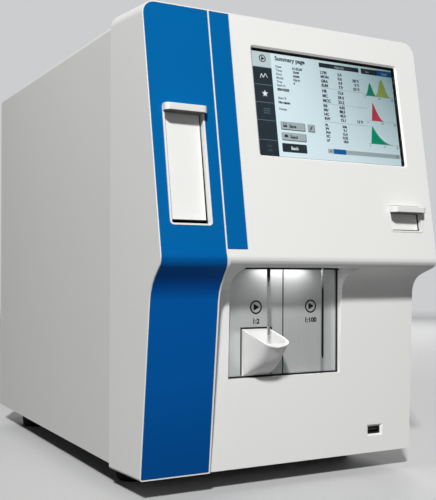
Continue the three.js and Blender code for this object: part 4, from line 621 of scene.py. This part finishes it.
def lampMaterial():
    # frosted rod: its lower side shines, brighter and dimmer along its length
    material, tree, shader = newMaterial("lampLens", {"Roughness": 0.3, "Base Color": lamp["rod"]})
    bands = noiseNode(tree, coordinates(tree), **lamp["bands"])
    below = rangeNode(tree, alongAxis(tree, "Z", "Normal"), *lamp["lowerSide"])
    along = rangeNode(tree, bands, *lamp["bandEdges"], newLow=lamp["dimmest"])
    shining = scaleVector(tree, lamp["colour"], mathNode(tree, "MULTIPLY", along, below))
    feed(tree, shader, {"Emission Color": shining, "Emission Strength": lamp["strength"]})
    return material


glassSockets = {"Base Color": (0.97, 0.99, 1.0, 1), "Roughness": 0.03, "IOR": 1.3, "Transmission Weight": 1.0}
glassMaterial = newMaterial("displayGlass", glassSockets)[0]
paint(lampMaterial(), "alcove_light_lens")
paint(glassMaterial, "touch_panel")
print("pieces carried over from CAD finished")


# Flat shapes: closed prisms drawn across and up in mm, between a back and a front layer

flat = {"weld": 0.0005, "cornerSteps": 4, "ringSteps": 32, "wordSteps": 3}


def addPrism(made, outline, layer):
    # the outline runs anticlockwise, seen from the front
    front, back = (
        [made.verts.new((across, depth, up)) for across, up in outline] for depth in reversed(layer)
    )
    made.faces.new(front)
    made.faces.new(list(reversed(back)))
    for index in range(len(outline)):
        follow = (index + 1) % len(outline)
        made.faces.new((front[index], back[index], back[follow], front[follow]))


def boxOutline(left, low, right, high, radius=0.0):
    if radius <= 0:
        return [(left, low), (right, low), (right, high), (left, high)]
    steps = flat["cornerSteps"]
    outline = []
    for centreX, centreZ, start in (
        (right - radius, low + radius, -90), (right - radius, high - radius, 0),
        (left + radius, high - radius, 90), (left + radius, low + radius, 180),
    ):
        for step in range(steps + 1):
            angle = math.radians(start + 90 * step / steps)
            outline.append((centreX + radius * math.cos(angle), centreZ + radius * math.sin(angle)))
    return outline


def roundOutline(centre, radii, start=0.0):
    # one point for each radius, evenly spaced round the centre
    angles = [start + 2 * math.pi * step / len(radii) for step in range(len(radii))]
    return [
        (centre[0] + radius * math.cos(angle), centre[1] + radius * math.sin(angle))
        for radius, angle in zip(radii, angles)
    ]


def addBand(made, outer, inner, layer):
    # a flat frame between two outlines that have as many points
    frontOuter, frontInner, backOuter, backInner = (
        [made.verts.new((across, depth, up)) for across, up in outline]
        for depth in reversed(layer) for outline in (outer, inner)
    )
    for step in range(len(outer)):
        follow = (step + 1) % len(outer)
        made.faces.new((frontInner[step], frontOuter[step], frontOuter[follow], frontInner[follow]))
        made.faces.new((backInner[follow], backOuter[follow], backOuter[step], backInner[step]))
        made.faces.new((frontOuter[step], backOuter[step], backOuter[follow], frontOuter[follow]))
        made.faces.new((frontInner[follow], backInner[follow], backInner[step], frontInner[step]))


def addRing(made, centre, outer, inner, layer, steps):
    addBand(made, roundOutline(centre, [outer] * steps), roundOutline(centre, [inner] * steps), layer)


def addStroke(made, points, width, layer):
    for (x0, z0), (x1, z1) in zip(points, points[1:]):
        length = math.hypot(x1 - x0, z1 - z0)
        sideX, sideZ = (z1 - z0) / length * width / 2, -(x1 - x0) / length * width / 2
        addPrism(made, [
            (x0 + sideX, z0 + sideZ), (x1 + sideX, z1 + sideZ),
            (x1 - sideX, z1 - sideZ), (x0 - sideX, z0 - sideZ),
        ], layer)


def addWords(made, words, across, up, size, layer, align, weight):
    curve = bpy.data.curves.new("words", "FONT")
    curve.body = words
    curve.size = size
    curve.offset = weight
    curve.extrude = (layer[0] - layer[1]) / 2
    curve.resolution_u = flat["wordSteps"]
    curve.align_x = align
    carrier = bpy.data.objects.new("words", curve)
    mesh = bpy.data.meshes.new_from_object(carrier)
    standing = Matrix.Rotation(math.radians(90), 4, "X")
    mesh.transform(Matrix.Translation((across, sum(layer) / 2, up)) @ standing)
    made.from_mesh(mesh)
    bpy.data.objects.remove(carrier)
    bpy.data.curves.remove(curve)
    bpy.data.meshes.remove(mesh)


def flatPiece(name, made, material, ridesOn, place=Matrix.Identity(4)):
    bmesh.ops.remove_doubles(made, verts=made.verts, dist=flat["weld"])
    mesh = meshFromBmesh(name, made)
    mesh.transform(place @ Matrix.Scale(mm, 4))
    return newPiece(name, mesh, material, ridesOn)


# Picture on the display, in mm from the window's lower left corner. Its shapes are listed as
# boxes: ink, layer, left, low, right, high, corner radius
# rules: ink, layer, left, right, half their thickness, heights
# rings: ink, layer, centre, outer radius, inner radius
# outlines: ink, layer, points
# strokes: ink, layer, width, points
# words: ink, layer, size, weight, alignment, across, up, words
# rows: size, columns (ink, weight, alignment, across), then each row as its place up and its words

layers = {
    "backdrop": (5.07, 5.03),
    "card": (5.00, 4.97),
    "detail": (4.94, 4.91),
    "ink": (4.88, 4.85),
}

screenInks = {
    "Backdrop": (228, 246, 251),
    "Slate": (34, 46, 53),
    "Grey": (172, 184, 187),
    "PaleGrey": (198, 214, 216),
    "Line": (128, 152, 160),
    "Ink": (30, 38, 50),
    "GreyInk": (92, 112, 124),
    "WhiteInk": (232, 244, 248),
    "Blue": (4, 98, 166),
    "Green": (0, 158, 118),
    "Yellow": (186, 196, 98),
    "Red": (226, 62, 84),
    "BorderAndShade": (9, 10, 12),
}

windowWidth, windowHeight = display["width"], display["height"]
# a black margin along the top and right edges: partly the panel's dark mask, partly painted shade under the
# window's rim
borders = {
    "boxes": (
        ("Backdrop", "backdrop", 0, 0, windowWidth, windowHeight, 0),
        ("BorderAndShade", "ink", 0, 94.0, windowWidth, windowHeight, 0),
        ("BorderAndShade", "ink", 155.9, 0, windowWidth, 94.0, 0),
    ),
}

sidebar = {
    "boxes": (
        ("PaleGrey", "card", 0, 80.0, 20.6, windowHeight, 0),
        ("Slate", "card", 0, 0, 20.6, 80.0, 0),
    ),
    "rules": (
        ("Line", "detail", 0.6, 20.0, 0.15, (80.0, 64.0, 48.0, 32.0, 14.5)),
        ("GreyInk", "detail", 8.7, 15.1, 0.35, (38.55, 40.45, 42.35)),
    ),
    "rings": (("Ink", "detail", (11.9, 88.0), 3.5, 2.6),),
    "outlines": (
        ("Ink", "detail", ((10.7, 85.9), (14.2, 88.0), (10.7, 90.1))),
        ("WhiteInk", "detail", roundOutline((11.5, 56.0), radii=(3.4, 1.4) * 5, start=math.pi / 2)),
    ),
    "strokes": (
        ("WhiteInk", "detail", 0.6, ((8.1, 69.9), (9.5, 73.9), (11.3, 70.5), (13.3, 74.5), (15.7, 70.7))),
    ),
    "words": (
        ("GreyInk", "detail", 2.2, 0.0, "CENTER", 11.5, 8.6, "01.02"),
        ("GreyInk", "detail", 2.2, 0.0, "CENTER", 11.5, 4.6, "10:40"),
    ),
}

summary = {
    "words": (
        ("Ink", "ink", 5.4, 0.2, "LEFT", 24.7, 88.0, "Summary page"),
        ("GreyInk", "ink", 3.1, 0.1, "LEFT", 24.7, 64.2, "Item A"),
        ("Ink", "ink", 3.1, 0.2, "LEFT", 24.7, 60.3, "00010203"),
        ("GreyInk", "ink", 3.1, 0.1, "LEFT", 24.7, 52.6, "Item B"),
        ("Ink", "ink", 3.1, 0.2, "LEFT", 24.7, 48.7, "No name"),
        ("GreyInk", "ink", 3.1, 0.1, "LEFT", 24.7, 42.6, "Notes"),
    ),
    "rows": ((3.1, (("GreyInk", 0.1, "LEFT", 24.7), ("Ink", 0.16, "LEFT", 42.3)), (
        (81.3, "Date", "01.02.03"), (77.85, "Time", "10:40"), (74.4, "Kind", "Adult"),
        (70.95, "Mode", "Open"), (67.5, "Tray", "4"),
    )),),
}

buttons = {
    "boxes": (
        ("Slate", "card", 24.9, 24.9, 50.4, 32.4, 0.8),
        ("Grey", "detail", 25.1, 25.6, 49.9, 32.3, 0.7),
        ("Slate", "card", 24.9, 15.3, 50.6, 22.7, 0.8),
        ("Grey", "detail", 25.1, 16.0, 50.1, 22.6, 0.7),
        ("Slate", "card", 24.4, 5.0, 50.1, 12.9, 0.8),
        ("Slate", "card", 53.2, 24.9, 60.7, 32.0, 0.8),
        ("Grey", "detail", 53.4, 25.6, 60.3, 31.9, 0.7),
        ("Ink", "ink", 27.3, 27.5, 31.3, 29.2, 0.3),
    ),
    "outlines": (("Ink", "ink", ((27.6, 18.4), (31.4, 18.4), (31.4, 20.0), (29.4, 21.1), (27.6, 20.0))),),
    "strokes": (
        ("Ink", "ink", 0.35, ((27.7, 29.1), (27.7, 30.9), (30.3, 30.9), (30.9, 29.1))),
        ("Ink", "ink", 1.1, ((55.6, 26.9), (57.8, 30.3))),
    ),
    "words": (
        ("Ink", "ink", 4.0, 0.16, "LEFT", 33.6, 27.3, "Save"),
        ("Ink", "ink", 4.0, 0.16, "LEFT", 33.6, 17.7, "Send"),
        ("WhiteInk", "detail", 4.0, 0.1, "CENTER", 37.2, 7.5, "Back"),
    ),
}

# label, value and share
tableColumns = (("Ink", 0.2, "LEFT", 72.6), ("Ink", 0.2, "RIGHT", 96.4), ("Ink", 0.18, "RIGHT", 115.8))
table = {
    "boxes": (("Slate", "card", 72.0, 87.5, 117.0, 91.8, 0),),
    "rules": (("Line", "card", 72.0, 121.5, 0.12, (68.0, 53.5, 36.3)),),
    "words": (("PaleGrey", "detail", 3.0, 0.04, "CENTER", 94.5, 88.5, "Value list"),),
    "rows": (
        (3.7444, tableColumns, (
            (81.4, "LYM", "2.4"), (77.33, "MON", "0.6", "38 %"), (73.26, "GRA", "4.9", "9 %"),
            (69.19, "SUM", "7.9", "53 %"),
        )),
        (3.9, tableColumns, ((63.8, "HB", "13.6"), (59.3, "MC", "29.4"), (54.8, "MCC", "33.2"))),
        (3.6524, tableColumns, (
            (50.0, "RB", "4.62"), (46.03, "MV", "88.5"), (42.06, "HC", "40.9"), (38.09, "RW", "13.1", "12 %"),
        )),
        (3.2384, tableColumns, (
            (32.1, "PL", "246"), (28.58, "PV", "9.1"), (25.06, "PW", "12.4"), (21.54, "PC", "0.22"),
            (18.02, "LP", "18.0"),
        )),
    ),
}


def bell(peak, width, height):
    return lambda place: height * math.exp(-(((place - peak) / width) ** 2))


def sawtooth(peak, height, power):
    return lambda place: height * (place / peak if place < peak else ((1 - place) / (1 - peak)) ** power)


# each curve: ink, left, right, base, and its height along the base
plots = {
    "boxes": (
        ("Slate", "card", 119.8, 87.0, 138.5, 92.2, 0),
        ("Blue", "card", 138.5, 87.0, 156.3, 92.5, 0),
    ),
    "rules": (("Line", "card", 119.6, 155.2, 0.11, (66.09, 42.09, 19.79)),),
    "outlines": (("Ink", "ink", ((153.9, 19.5), (154.9, 19.5), (154.4, 20.6))),),
    "words": (
        ("PaleGrey", "detail", 2.8, 0.0, "CENTER", 127.0, 88.5, "List"),
        ("WhiteInk", "detail", 2.8, 0.0, "CENTER", 147.0, 88.5, "Graph"),
    ),
    "curves": (
        ("Green", 120.0, 134.0, 66.2, bell(peak=0.60, width=0.24, height=12.2)),
        ("Yellow", 133.4, 151.2, 66.2, bell(peak=0.50, width=0.27, height=17.2)),
        ("Red", 126.4, 141.4, 42.2, sawtooth(peak=0.2, height=18.6, power=1.9)),
        ("Green", 122.8, 154.0, 19.9, sawtooth(peak=0.1, height=17.8, power=3.0)),
    ),
    "curveSteps": 28,
    "leastHeight": 0.05,
    "rows": ((2.2, tuple(("Ink", 0.04, "CENTER", place) for place in (121.6, 138.2, 153.4)), (
        (63.3, "0", "80", "160"), (39.3, "0", "125", "250"), (17.0, "0", "15", "30"),
    )),),
}

slider = {
    "boxes": (
        ("Grey", "card", 72.8, 7.2, 155.1, 11.2, 0),
        ("Blue", "detail", 78.9, 6.9, 92.8, 11.5, 0),
    ),
    "outlines": (
        ("GreyInk", "detail", ((74.6, 9.2), (76.6, 7.9), (76.6, 10.5))),
        ("GreyInk", "detail", ((153.6, 9.2), (151.6, 10.5), (151.6, 7.9))),
    ),
}


def fromLevels(levels):
    # screen levels of 0 to 255 as linear colour, by the usual curve
    return tuple(((v / 255 + 0.055) / 1.055) ** 2.4 if v > 10 else v / 255 / 12.92 for v in levels)


def screenMaterial(name, levels):
    sockets = {"Base Color": (0.01, 0.01, 0.012, 1), "Roughness": 0.35, "Emission Strength": 1.0}
    material, tree, shader = newMaterial("screen" + name, sockets)
    shining = addNode(tree, "Group", {"Colour": (*fromLevels(levels), 1)}, node_tree=screenGlow)
    feed(tree, shader, {"Emission Color": shining.outputs["Colour"]})
    return material


def drawShapes(inks, area):
    for ink, layer, left, low, right, high, radius in area.get("boxes", ()):
        addPrism(inks[ink], boxOutline(left, low, right, high, radius), layers[layer])
    for ink, layer, left, right, half, heights in area.get("rules", ()):
        for height in heights:
            addPrism(inks[ink], boxOutline(left, height - half, right, height + half), layers[layer])
    for ink, layer, centre, outer, inner in area.get("rings", ()):
        addRing(inks[ink], centre, outer, inner, layers[layer], flat["ringSteps"])
    for ink, layer, points in area.get("outlines", ()):
        addPrism(inks[ink], points, layers[layer])
    for ink, layer, width, points in area.get("strokes", ()):
        addStroke(inks[ink], points, width, layers[layer])
    for ink, layer, size, weight, align, across, up, words in area.get("words", ()):
        addWords(inks[ink], words, across, up, size, layers[layer], align, weight)
    for size, columns, rows in area.get("rows", ()):
        for up, *row in rows:
            for (ink, weight, align, across), words in zip(columns, row):
                addWords(inks[ink], words, across, up, size, layers["ink"], align, weight)


def drawPlots(inks):
    places = [step / plots["curveSteps"] for step in range(plots["curveSteps"] + 1)]
    for ink, left, right, base, heightAt in plots["curves"]:
        heights = [base + max(heightAt(place), plots["leastHeight"]) for place in places]
        top = [(left + (right - left) * place, height) for place, height in zip(places, heights)]
        addPrism(inks[ink], [(left, base), (right, base)] + top[::-1], layers["detail"])


def makePicture():
    inks = {name: bmesh.new() for name in screenInks}
    for area in (borders, sidebar, summary, buttons, table, plots, slider):
        drawShapes(inks, area)
    drawPlots(inks)
    corner = Matrix.Translation((-windowWidth / 2 * mm, 0, -windowHeight / 2 * mm))
    place = onFront(display["centreX"], display["centreHeight"]) @ corner
    for name, made in inks.items():
        material = screenMaterial(name, screenInks[name])
        flatPiece("screen" + name, made, material, "housing", place)


makePicture()
print("picture on the display drawn")


# Start plates: printed signs

signs = {
    "faceDepth": 52.5,
    "layer": (-0.01, -0.05),
    "ringHeight": 139.5,
    "ringOuter": 6.1,
    "ringInner": 4.7,
    "ringSteps": 48,
    "arrow": ((-2.3, -3.1), (3.5, 0.0), (-2.3, 3.1)),
    "textBase": 125.2,
    "textSize": 6.0,
    "textWeight": 0.24,
}


def makeSign(name, node, centreX, words):
    made = bmesh.new()
    height, layer = signs["ringHeight"], signs["layer"]
    addRing(made, (centreX, height), signs["ringOuter"], signs["ringInner"], layer, signs["ringSteps"])
    addPrism(made, [(centreX + x, height + z) for x, z in signs["arrow"]], layer)
    addWords(made, words, centreX, signs["textBase"], signs["textSize"], layer, "CENTER", signs["textWeight"])
    place = Matrix.Translation(at(0.0, signs["faceDepth"], 0.0))
    flatPiece(name, made, printInk, bodyOf[node], place)


makeSign("leftPlateSign", "left_start_plate", centreX=-29.3, words="1:2")
makeSign("rightPlateSign", "right_start_plate", centreX=28.7, words="1:100")
print("signs printed")


# Black strips of painted shade in the gaps, and the dark band in the seam

# each bar: left, low, right, high, then the depths of its back and front
gapShadeStrips = {
    "alcoveGapShade": {
        "sill": (-59.9, 78.65, 57.9, 80.2, 52.9, 53.5),
        "rightJamb": (56.7, 80.2, 57.9, 173.9, 52.9, 53.5),
        "leftJamb": (-59.9, 80.2, -59.2, 152.0, 52.9, 53.5),
        "ceilingEdge": (-57.0, 172.5, 49.0, 174.0, 67.0, 68.0),
    },
    "notchGapShade": {
        "top": (-44.1, 121.3, -13.8, 122.2, 52.55, 52.95),
        "left": (-45.0, 81.0, -44.1, 122.2, 52.55, 52.95),
        "right": (-13.8, 81.0, -12.9, 122.2, 52.55, 52.95),
    },
}


def makeGapShadeStrip(name, ridesOn):
    # black strips of painted shade in the gaps where the plates meet the lining, under its ceiling, or round
    # the cup's notch
    made = bmesh.new()
    for *box, back, front in gapShadeStrips[name].values():
        layer = (body["seamY"] - back, body["seamY"] - front)
        addPrism(made, [(x, z + body["lift"]) for x, z in boxOutline(*box)], layer)
    flatPiece(name, made, rubberAndShade, ridesOn)


gapShadeLips = {
    "doorGapShade": {
        "panel": tubeDoor, "inner": 16.25, "outer": 17.35, "low": -38.0, "high": 46.5, "layer": (8.0, 5.1),
    },
    "drawerGapShade": {
        "panel": drawer, "inner": 16.5, "outer": 17.55, "low": -10.2, "high": 9.5, "layer": (8.0, 5.2),
    },
}


def makeGapShadeLips():
    # black lips of painted shade in the side gaps of the tube door and the drawer
    for name, shadeLip in gapShadeLips.items():
        made = bmesh.new()
        for side in (-1, 1):
            near, far = sorted((side * shadeLip["inner"], side * shadeLip["outer"]))
            addPrism(made, boxOutline(near, shadeLip["low"], far, shadeLip["high"]), shadeLip["layer"])
        place = onFront(shadeLip["panel"]["centreX"], shadeLip["panel"]["centreHeight"])
        flatPiece(name, made, rubberAndShade, "housing", place)


seam = {
    "coverHalf": 144.5,
    "coverLow": 21.6,
    "coverHigh": 400.2,
    "coverCorner": 4.0,
    "proud": 0.12,
    "depth": 0.6,
    "backAndFront": (0.9, 0.05),
}


def makeSeam():
    # dark band in the seam between the bezel and the housing's cover
    half, low, high, corner = (seam[key] for key in ("coverHalf", "coverLow", "coverHigh", "coverCorner"))
    grow, depth = seam["proud"], seam["depth"]
    made = bmesh.new()
    outer = boxOutline(-half - grow, low - grow, half + grow, high + grow, corner + grow)
    inner = boxOutline(-half + depth, low + depth, half - depth, high - depth, corner - depth)
    addBand(made, outer, inner, [body["seamY"] + place for place in seam["backAndFront"]])
    flatPiece("seamDarkBand", made, rubberAndShade, "housing")


# Rear: screws, pins of the inlet, marks on the rocker; and the contacts of both sockets

# the head's profile gives shares of its radius and height, from its seat to the rim of the recess
screws = {
    "radius": 3.1,
    "height": 1.7,
    "inset": 11.0,
    "rows": 4,
    "guardRadius": 2.6,
    "guardPlace": 35.0,
    "profile": ((1.0, 0.0), (1.0, 0.3), (0.93, 0.7), (0.78, 0.95), (0.7, 1.0)),
    "steps": 24,
    "crossLength": 0.62,
    "crossWidth": 0.17,
    "crossTaper": 0.8,
    "crossFloor": 0.3,
    "smoothAngle": 40.0,
}


def boxOf(node):
    # lowest corner, highest corner and middle of a CAD node, in mm
    low, high = (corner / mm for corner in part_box(node))
    return low, high, (low + high) / 2


def crossRadius(angle, size):
    # radius of a cross-shaped recess in the direction of an angle
    arm = abs((angle + math.pi / 4) % (math.pi / 2) - math.pi / 4)
    length, width = screws["crossLength"] * size, screws["crossWidth"] * size
    return length / math.cos(arm) if math.tan(arm) * length <= width else width / math.sin(arm)


def addScrew(made, seat, radius):
    # pan head that faces the back, with a cross recess
    steps = screws["steps"]
    angles = [2 * math.pi * step / steps for step in range(steps)]
    cross = [crossRadius(angle, radius) for angle in angles]
    profile = [([radius * share] * steps, rise) for share, rise in screws["profile"]]
    profile += [(cross, 1.0), ([reach * screws["crossTaper"] for reach in cross], screws["crossFloor"])]
    loops = []
    for radii, rise in profile:
        depth = seat.y + rise * screws["height"]
        loops.append([
            made.verts.new((seat.x + reach * math.cos(angle), depth, seat.z + reach * math.sin(angle)))
            for reach, angle in zip(radii, angles)
        ])
    made.faces.new(loops[0])
    made.faces.new(list(reversed(loops[-1])))
    for lower, upper in zip(loops, loops[1:]):
        for step in range(steps):
            follow = (step + 1) % steps
            made.faces.new((lower[step], upper[step], upper[follow], lower[follow]))


def makeRearScrews():
    made = bmesh.new()
    low, high = boxOf("rear_panel")[:2]
    inset, rows = screws["inset"], screws["rows"]
    for x in (low.x + inset, high.x - inset):
        for row in range(rows):
            z = low.z + inset + (high.z - low.z - 2 * inset) * row / (rows - 1)
            addScrew(made, Vector((x, high.y, z)), screws["radius"])
    high, middle = boxOf("fan_guard")[1:]
    away = screws["guardPlace"]
    for x in (-away, away):
        for z in (-away, away):
            addScrew(made, Vector((middle.x + x, high.y, middle.z + z)), screws["guardRadius"])
    piece = flatPiece("rearScrews", made, screwSteel, "housing")
    smooth(piece.data, screws["smoothAngle"])


# places across and up from the middle of the mains socket, and depths from its rear face
inletPins = {
    "places": ((-7.0, -2.0), (7.0, -2.0), (0.0, 2.0)),
    "socketDrop": 11.0,
    "halfWidth": 1.1,
    "halfHeight": 2.1,
    "root": 16.9,
    "tip": 5.9,
}


def makeInletPins():
    # the pins in the mains socket are part of its moulding in CAD, and get their own metal here
    high, middle = boxOf("power_inlet")[1:]
    mesh = bpy.data.objects["powerInlet"].data
    mesh.materials.append(screwSteel)
    for polygon in mesh.polygons:
        centre = polygon.center / mm
        within = high.y - inletPins["root"] < centre.y < high.y - inletPins["tip"]
        for x, z in inletPins["places"]:
            across = abs(centre.x - middle.x - x)
            upward = abs(centre.z - middle.z + inletPins["socketDrop"] - z)
            if within and across < inletPins["halfWidth"] and upward < inletPins["halfHeight"]:
                polygon.material_index = 1


rockerMarks = {
    "rise": 14.0,
    "pivotDepth": 3.5,
    "tilt": 8.0,
    "slope": 9.09,
    "faceRadius": 3.9,
    "spread": 2.5,
    "bar": (-0.3, -1.3, 0.3, 1.3),
    "ringOuter": 1.3,
    "ringInner": 0.8,
    "ringSteps": 24,
    "layer": (-0.01, -0.06),
}


def makeRockerMarks():
    # a bar on the upper half of the key and a ring on the lower
    high, middle = boxOf("power_inlet")[1:]
    pivot = Vector((middle.x, high.y - rockerMarks["pivotDepth"], middle.z + rockerMarks["rise"]))
    rest = Matrix.Translation(pivot) @ Matrix.Rotation(math.radians(rockerMarks["tilt"]), 4, "X")
    outer, inner, layer = (rockerMarks[key] for key in ("ringOuter", "ringInner", "layer"))
    made = bmesh.new()
    for side in (1, -1):
        mark = bmesh.new()
        if side > 0:
            addPrism(mark, boxOutline(*rockerMarks["bar"]), layer)
        else:
            addRing(mark, (0.0, 0.0), outer, inner, layer, rockerMarks["ringSteps"])
        shift = Matrix.Translation((0, rockerMarks["faceRadius"], rockerMarks["spread"] * side))
        lean = Matrix.Rotation(math.radians(side * rockerMarks["slope"]), 4, "X")
        mark.transform(rest @ shift @ lean @ Matrix.Rotation(math.pi, 4, "Z"))
        mesh = meshFromBmesh("mark", mark)
        made.from_mesh(mesh)
        bpy.data.meshes.remove(mesh)
    flatPiece("rockerMarks", made, markInk, bodyOf["power_switch"])


# places across from the socket's middle, and depths from its face
contacts = {
    "places": (-3.5, -1.0, 1.0, 3.5),
    "halfWidth": 0.5,
    "below": 0.08,
    "above": 0.5,
    "near": 1.45,
    "far": 7.5,
}


def makeContacts():
    made = bmesh.new()
    near, far, half = (contacts[key] for key in ("near", "far", "halfWidth"))
    front, rear = boxOf("usb_socket"), boxOf("rear_usb_socket")
    for middle, layer in (
        (front[2], (front[0].y + far, front[0].y + near)),
        (rear[2], (rear[1].y - near, rear[1].y - far)),
    ):
        for place in contacts["places"]:
            x = middle.x + place
            box = (x - half, middle.z - contacts["below"], x + half, middle.z + contacts["above"])
            addPrism(made, boxOutline(*box), layer)
    flatPiece("socketContacts", made, contactGold, "housing")


makeGapShadeStrip("alcoveGapShade", "housing")
makeGapShadeLips()
makeGapShadeStrip("notchGapShade", bodyOf["left_start_plate"])
makeSeam()
makeRearScrews()
makeInletPins()
makeRockerMarks()
makeContacts()
print("seam, screws, marks and contacts made")


# Stage: floor, lights and camera

stage = {
    "floorRadius": 5.0,
    "floorEdges": 96,
    "fadeStart": 1.1,
    "fadeEnd": 3.6,
    "floorRoughness": 0.75,
    "floorColour": (0.56, 0.565, 0.57, 1),
    "floorBounce": (0.15, 0.152, 0.155, 1),
    "floorNoise": {"scale": 3.0, "detail": 3.0},
    "noiseRange": (0.3, 0.7),
    "toneRange": (0.985, 1.015),
    "backColour": (0.60, 0.61, 0.62, 1),
    "fillStrength": 0.034,
    "fillTint": (1.0, 1.01, 1.03),
}


def makeFloor():
    # the floor looks paler than the light that it throws back, and fades into the backdrop
    made = bmesh.new()
    bmesh.ops.create_circle(made, cap_ends=True, segments=stage["floorEdges"], radius=stage["floorRadius"])
    floor = addObject("floor", meshFromBmesh("floor", made))
    material, tree, shader = newMaterial("floorPaint", {"Roughness": stage["floorRoughness"]})
    coords = coordinates(tree)
    drift = noiseNode(tree, coords, **stage["floorNoise"])
    tone = rangeNode(tree, drift, *stage["noiseRange"], *stage["toneRange"])
    seen = mixColours(tree, cameraRay(tree), stage["floorBounce"], stage["floorColour"])
    distance = vectorNode(tree, "LENGTH", coords, output="Value")
    start, end = stage["fadeStart"], stage["fadeEnd"]
    fade = rangeNode(tree, distance, start, end, newLow=1.0, newHigh=0.0, interpolation_type="SMOOTHSTEP")
    feed(tree, shader, {"Base Color": scaleVector(tree, seen, tone), "Alpha": fade})
    floor.data.materials.append(material)


def makeWorld():
    world = bpy.data.worlds.new("studio")
    scene.world = world
    world.use_nodes = True
    tree = world.node_tree
    fill = [stage["fillStrength"] * part for part in stage["fillTint"]]
    colour = mixColours(tree, cameraRay(tree), (*fill, 1), stage["backColour"])
    feed(tree, tree.nodes["Background"], {"Color": colour})


lighting = {"target": (0.0, -0.1, 0.2), "colour": (1.0, 0.997, 0.985)}
lights = {
    "key": {"azimuth": -34.0, "elevation": 38.0, "distance": 3.8, "size": 0.31, "power": 165.0},
    "left": {"azimuth": -94.0, "elevation": 58.0, "distance": 0.95, "size": 0.4, "power": 1.3},
    "front": {"azimuth": 4.0, "elevation": 12.0, "distance": 2.2, "size": 1.0, "power": 2.6},
    "back": {"azimuth": 140.0, "elevation": 20.0, "distance": 2.5, "size": 1.2, "power": 25.0},
}


def makeLights():
    for name, light in lights.items():
        azimuth = math.radians(light["azimuth"])
        elevation = math.radians(light["elevation"])
        level = math.cos(elevation)
        away = Vector((math.sin(azimuth) * level, -math.cos(azimuth) * level, math.sin(elevation)))
        lampData = bpy.data.lights.new(name, "AREA")
        lampData.shape = "SQUARE"
        lampData.size = light["size"]
        lampData.energy = light["power"]
        lampData.color = lighting["colour"]
        thing = addObject(name, lampData)
        thing.location = Vector(lighting["target"]) + away * light["distance"]
        thing.rotation_mode = "QUATERNION"
        thing.rotation_quaternion = away.to_track_quat("Z", "Y")


cameraSetup = {
    "place": (-415.876, -812.985, 188.09),
    "yaw": 28.055,
    "pitch": -0.285,
    "roll": 0.213,
    "lens": 60.464,
    "sensorWidth": 36.0,
    "shiftX": 0.03204,
    "shiftY": 0.03322,
    "clipStart": 0.02,
}


def makeCamera():
    yaw, pitch, roll = (math.radians(cameraSetup[key]) for key in ("yaw", "pitch", "roll"))
    ahead = Vector((math.sin(yaw) * math.cos(pitch), math.cos(yaw) * math.cos(pitch), -math.sin(pitch)))
    right = Vector((math.cos(yaw), -math.sin(yaw), 0.0))
    upward = right.cross(ahead)
    turnedRight = right * math.cos(roll) + upward * math.sin(roll)
    turnedUp = upward * math.cos(roll) - right * math.sin(roll)
    data = bpy.data.cameras.new("camera")
    data.lens = cameraSetup["lens"]
    data.sensor_width = cameraSetup["sensorWidth"]
    data.shift_x = cameraSetup["shiftX"]
    data.shift_y = cameraSetup["shiftY"]
    data.clip_start = cameraSetup["clipStart"]
    thing = addObject("camera", data)
    basis = Matrix((turnedRight, turnedUp, -ahead)).transposed()
    thing.matrix_world = Matrix.Translation(Vector(cameraSetup["place"]) * mm) @ basis.to_4x4()
    scene.camera = thing


makeFloor()
makeWorld()
makeLights()
makeCamera()
scene.view_settings.view_transform = "Standard"
print("stage, lights and camera made")
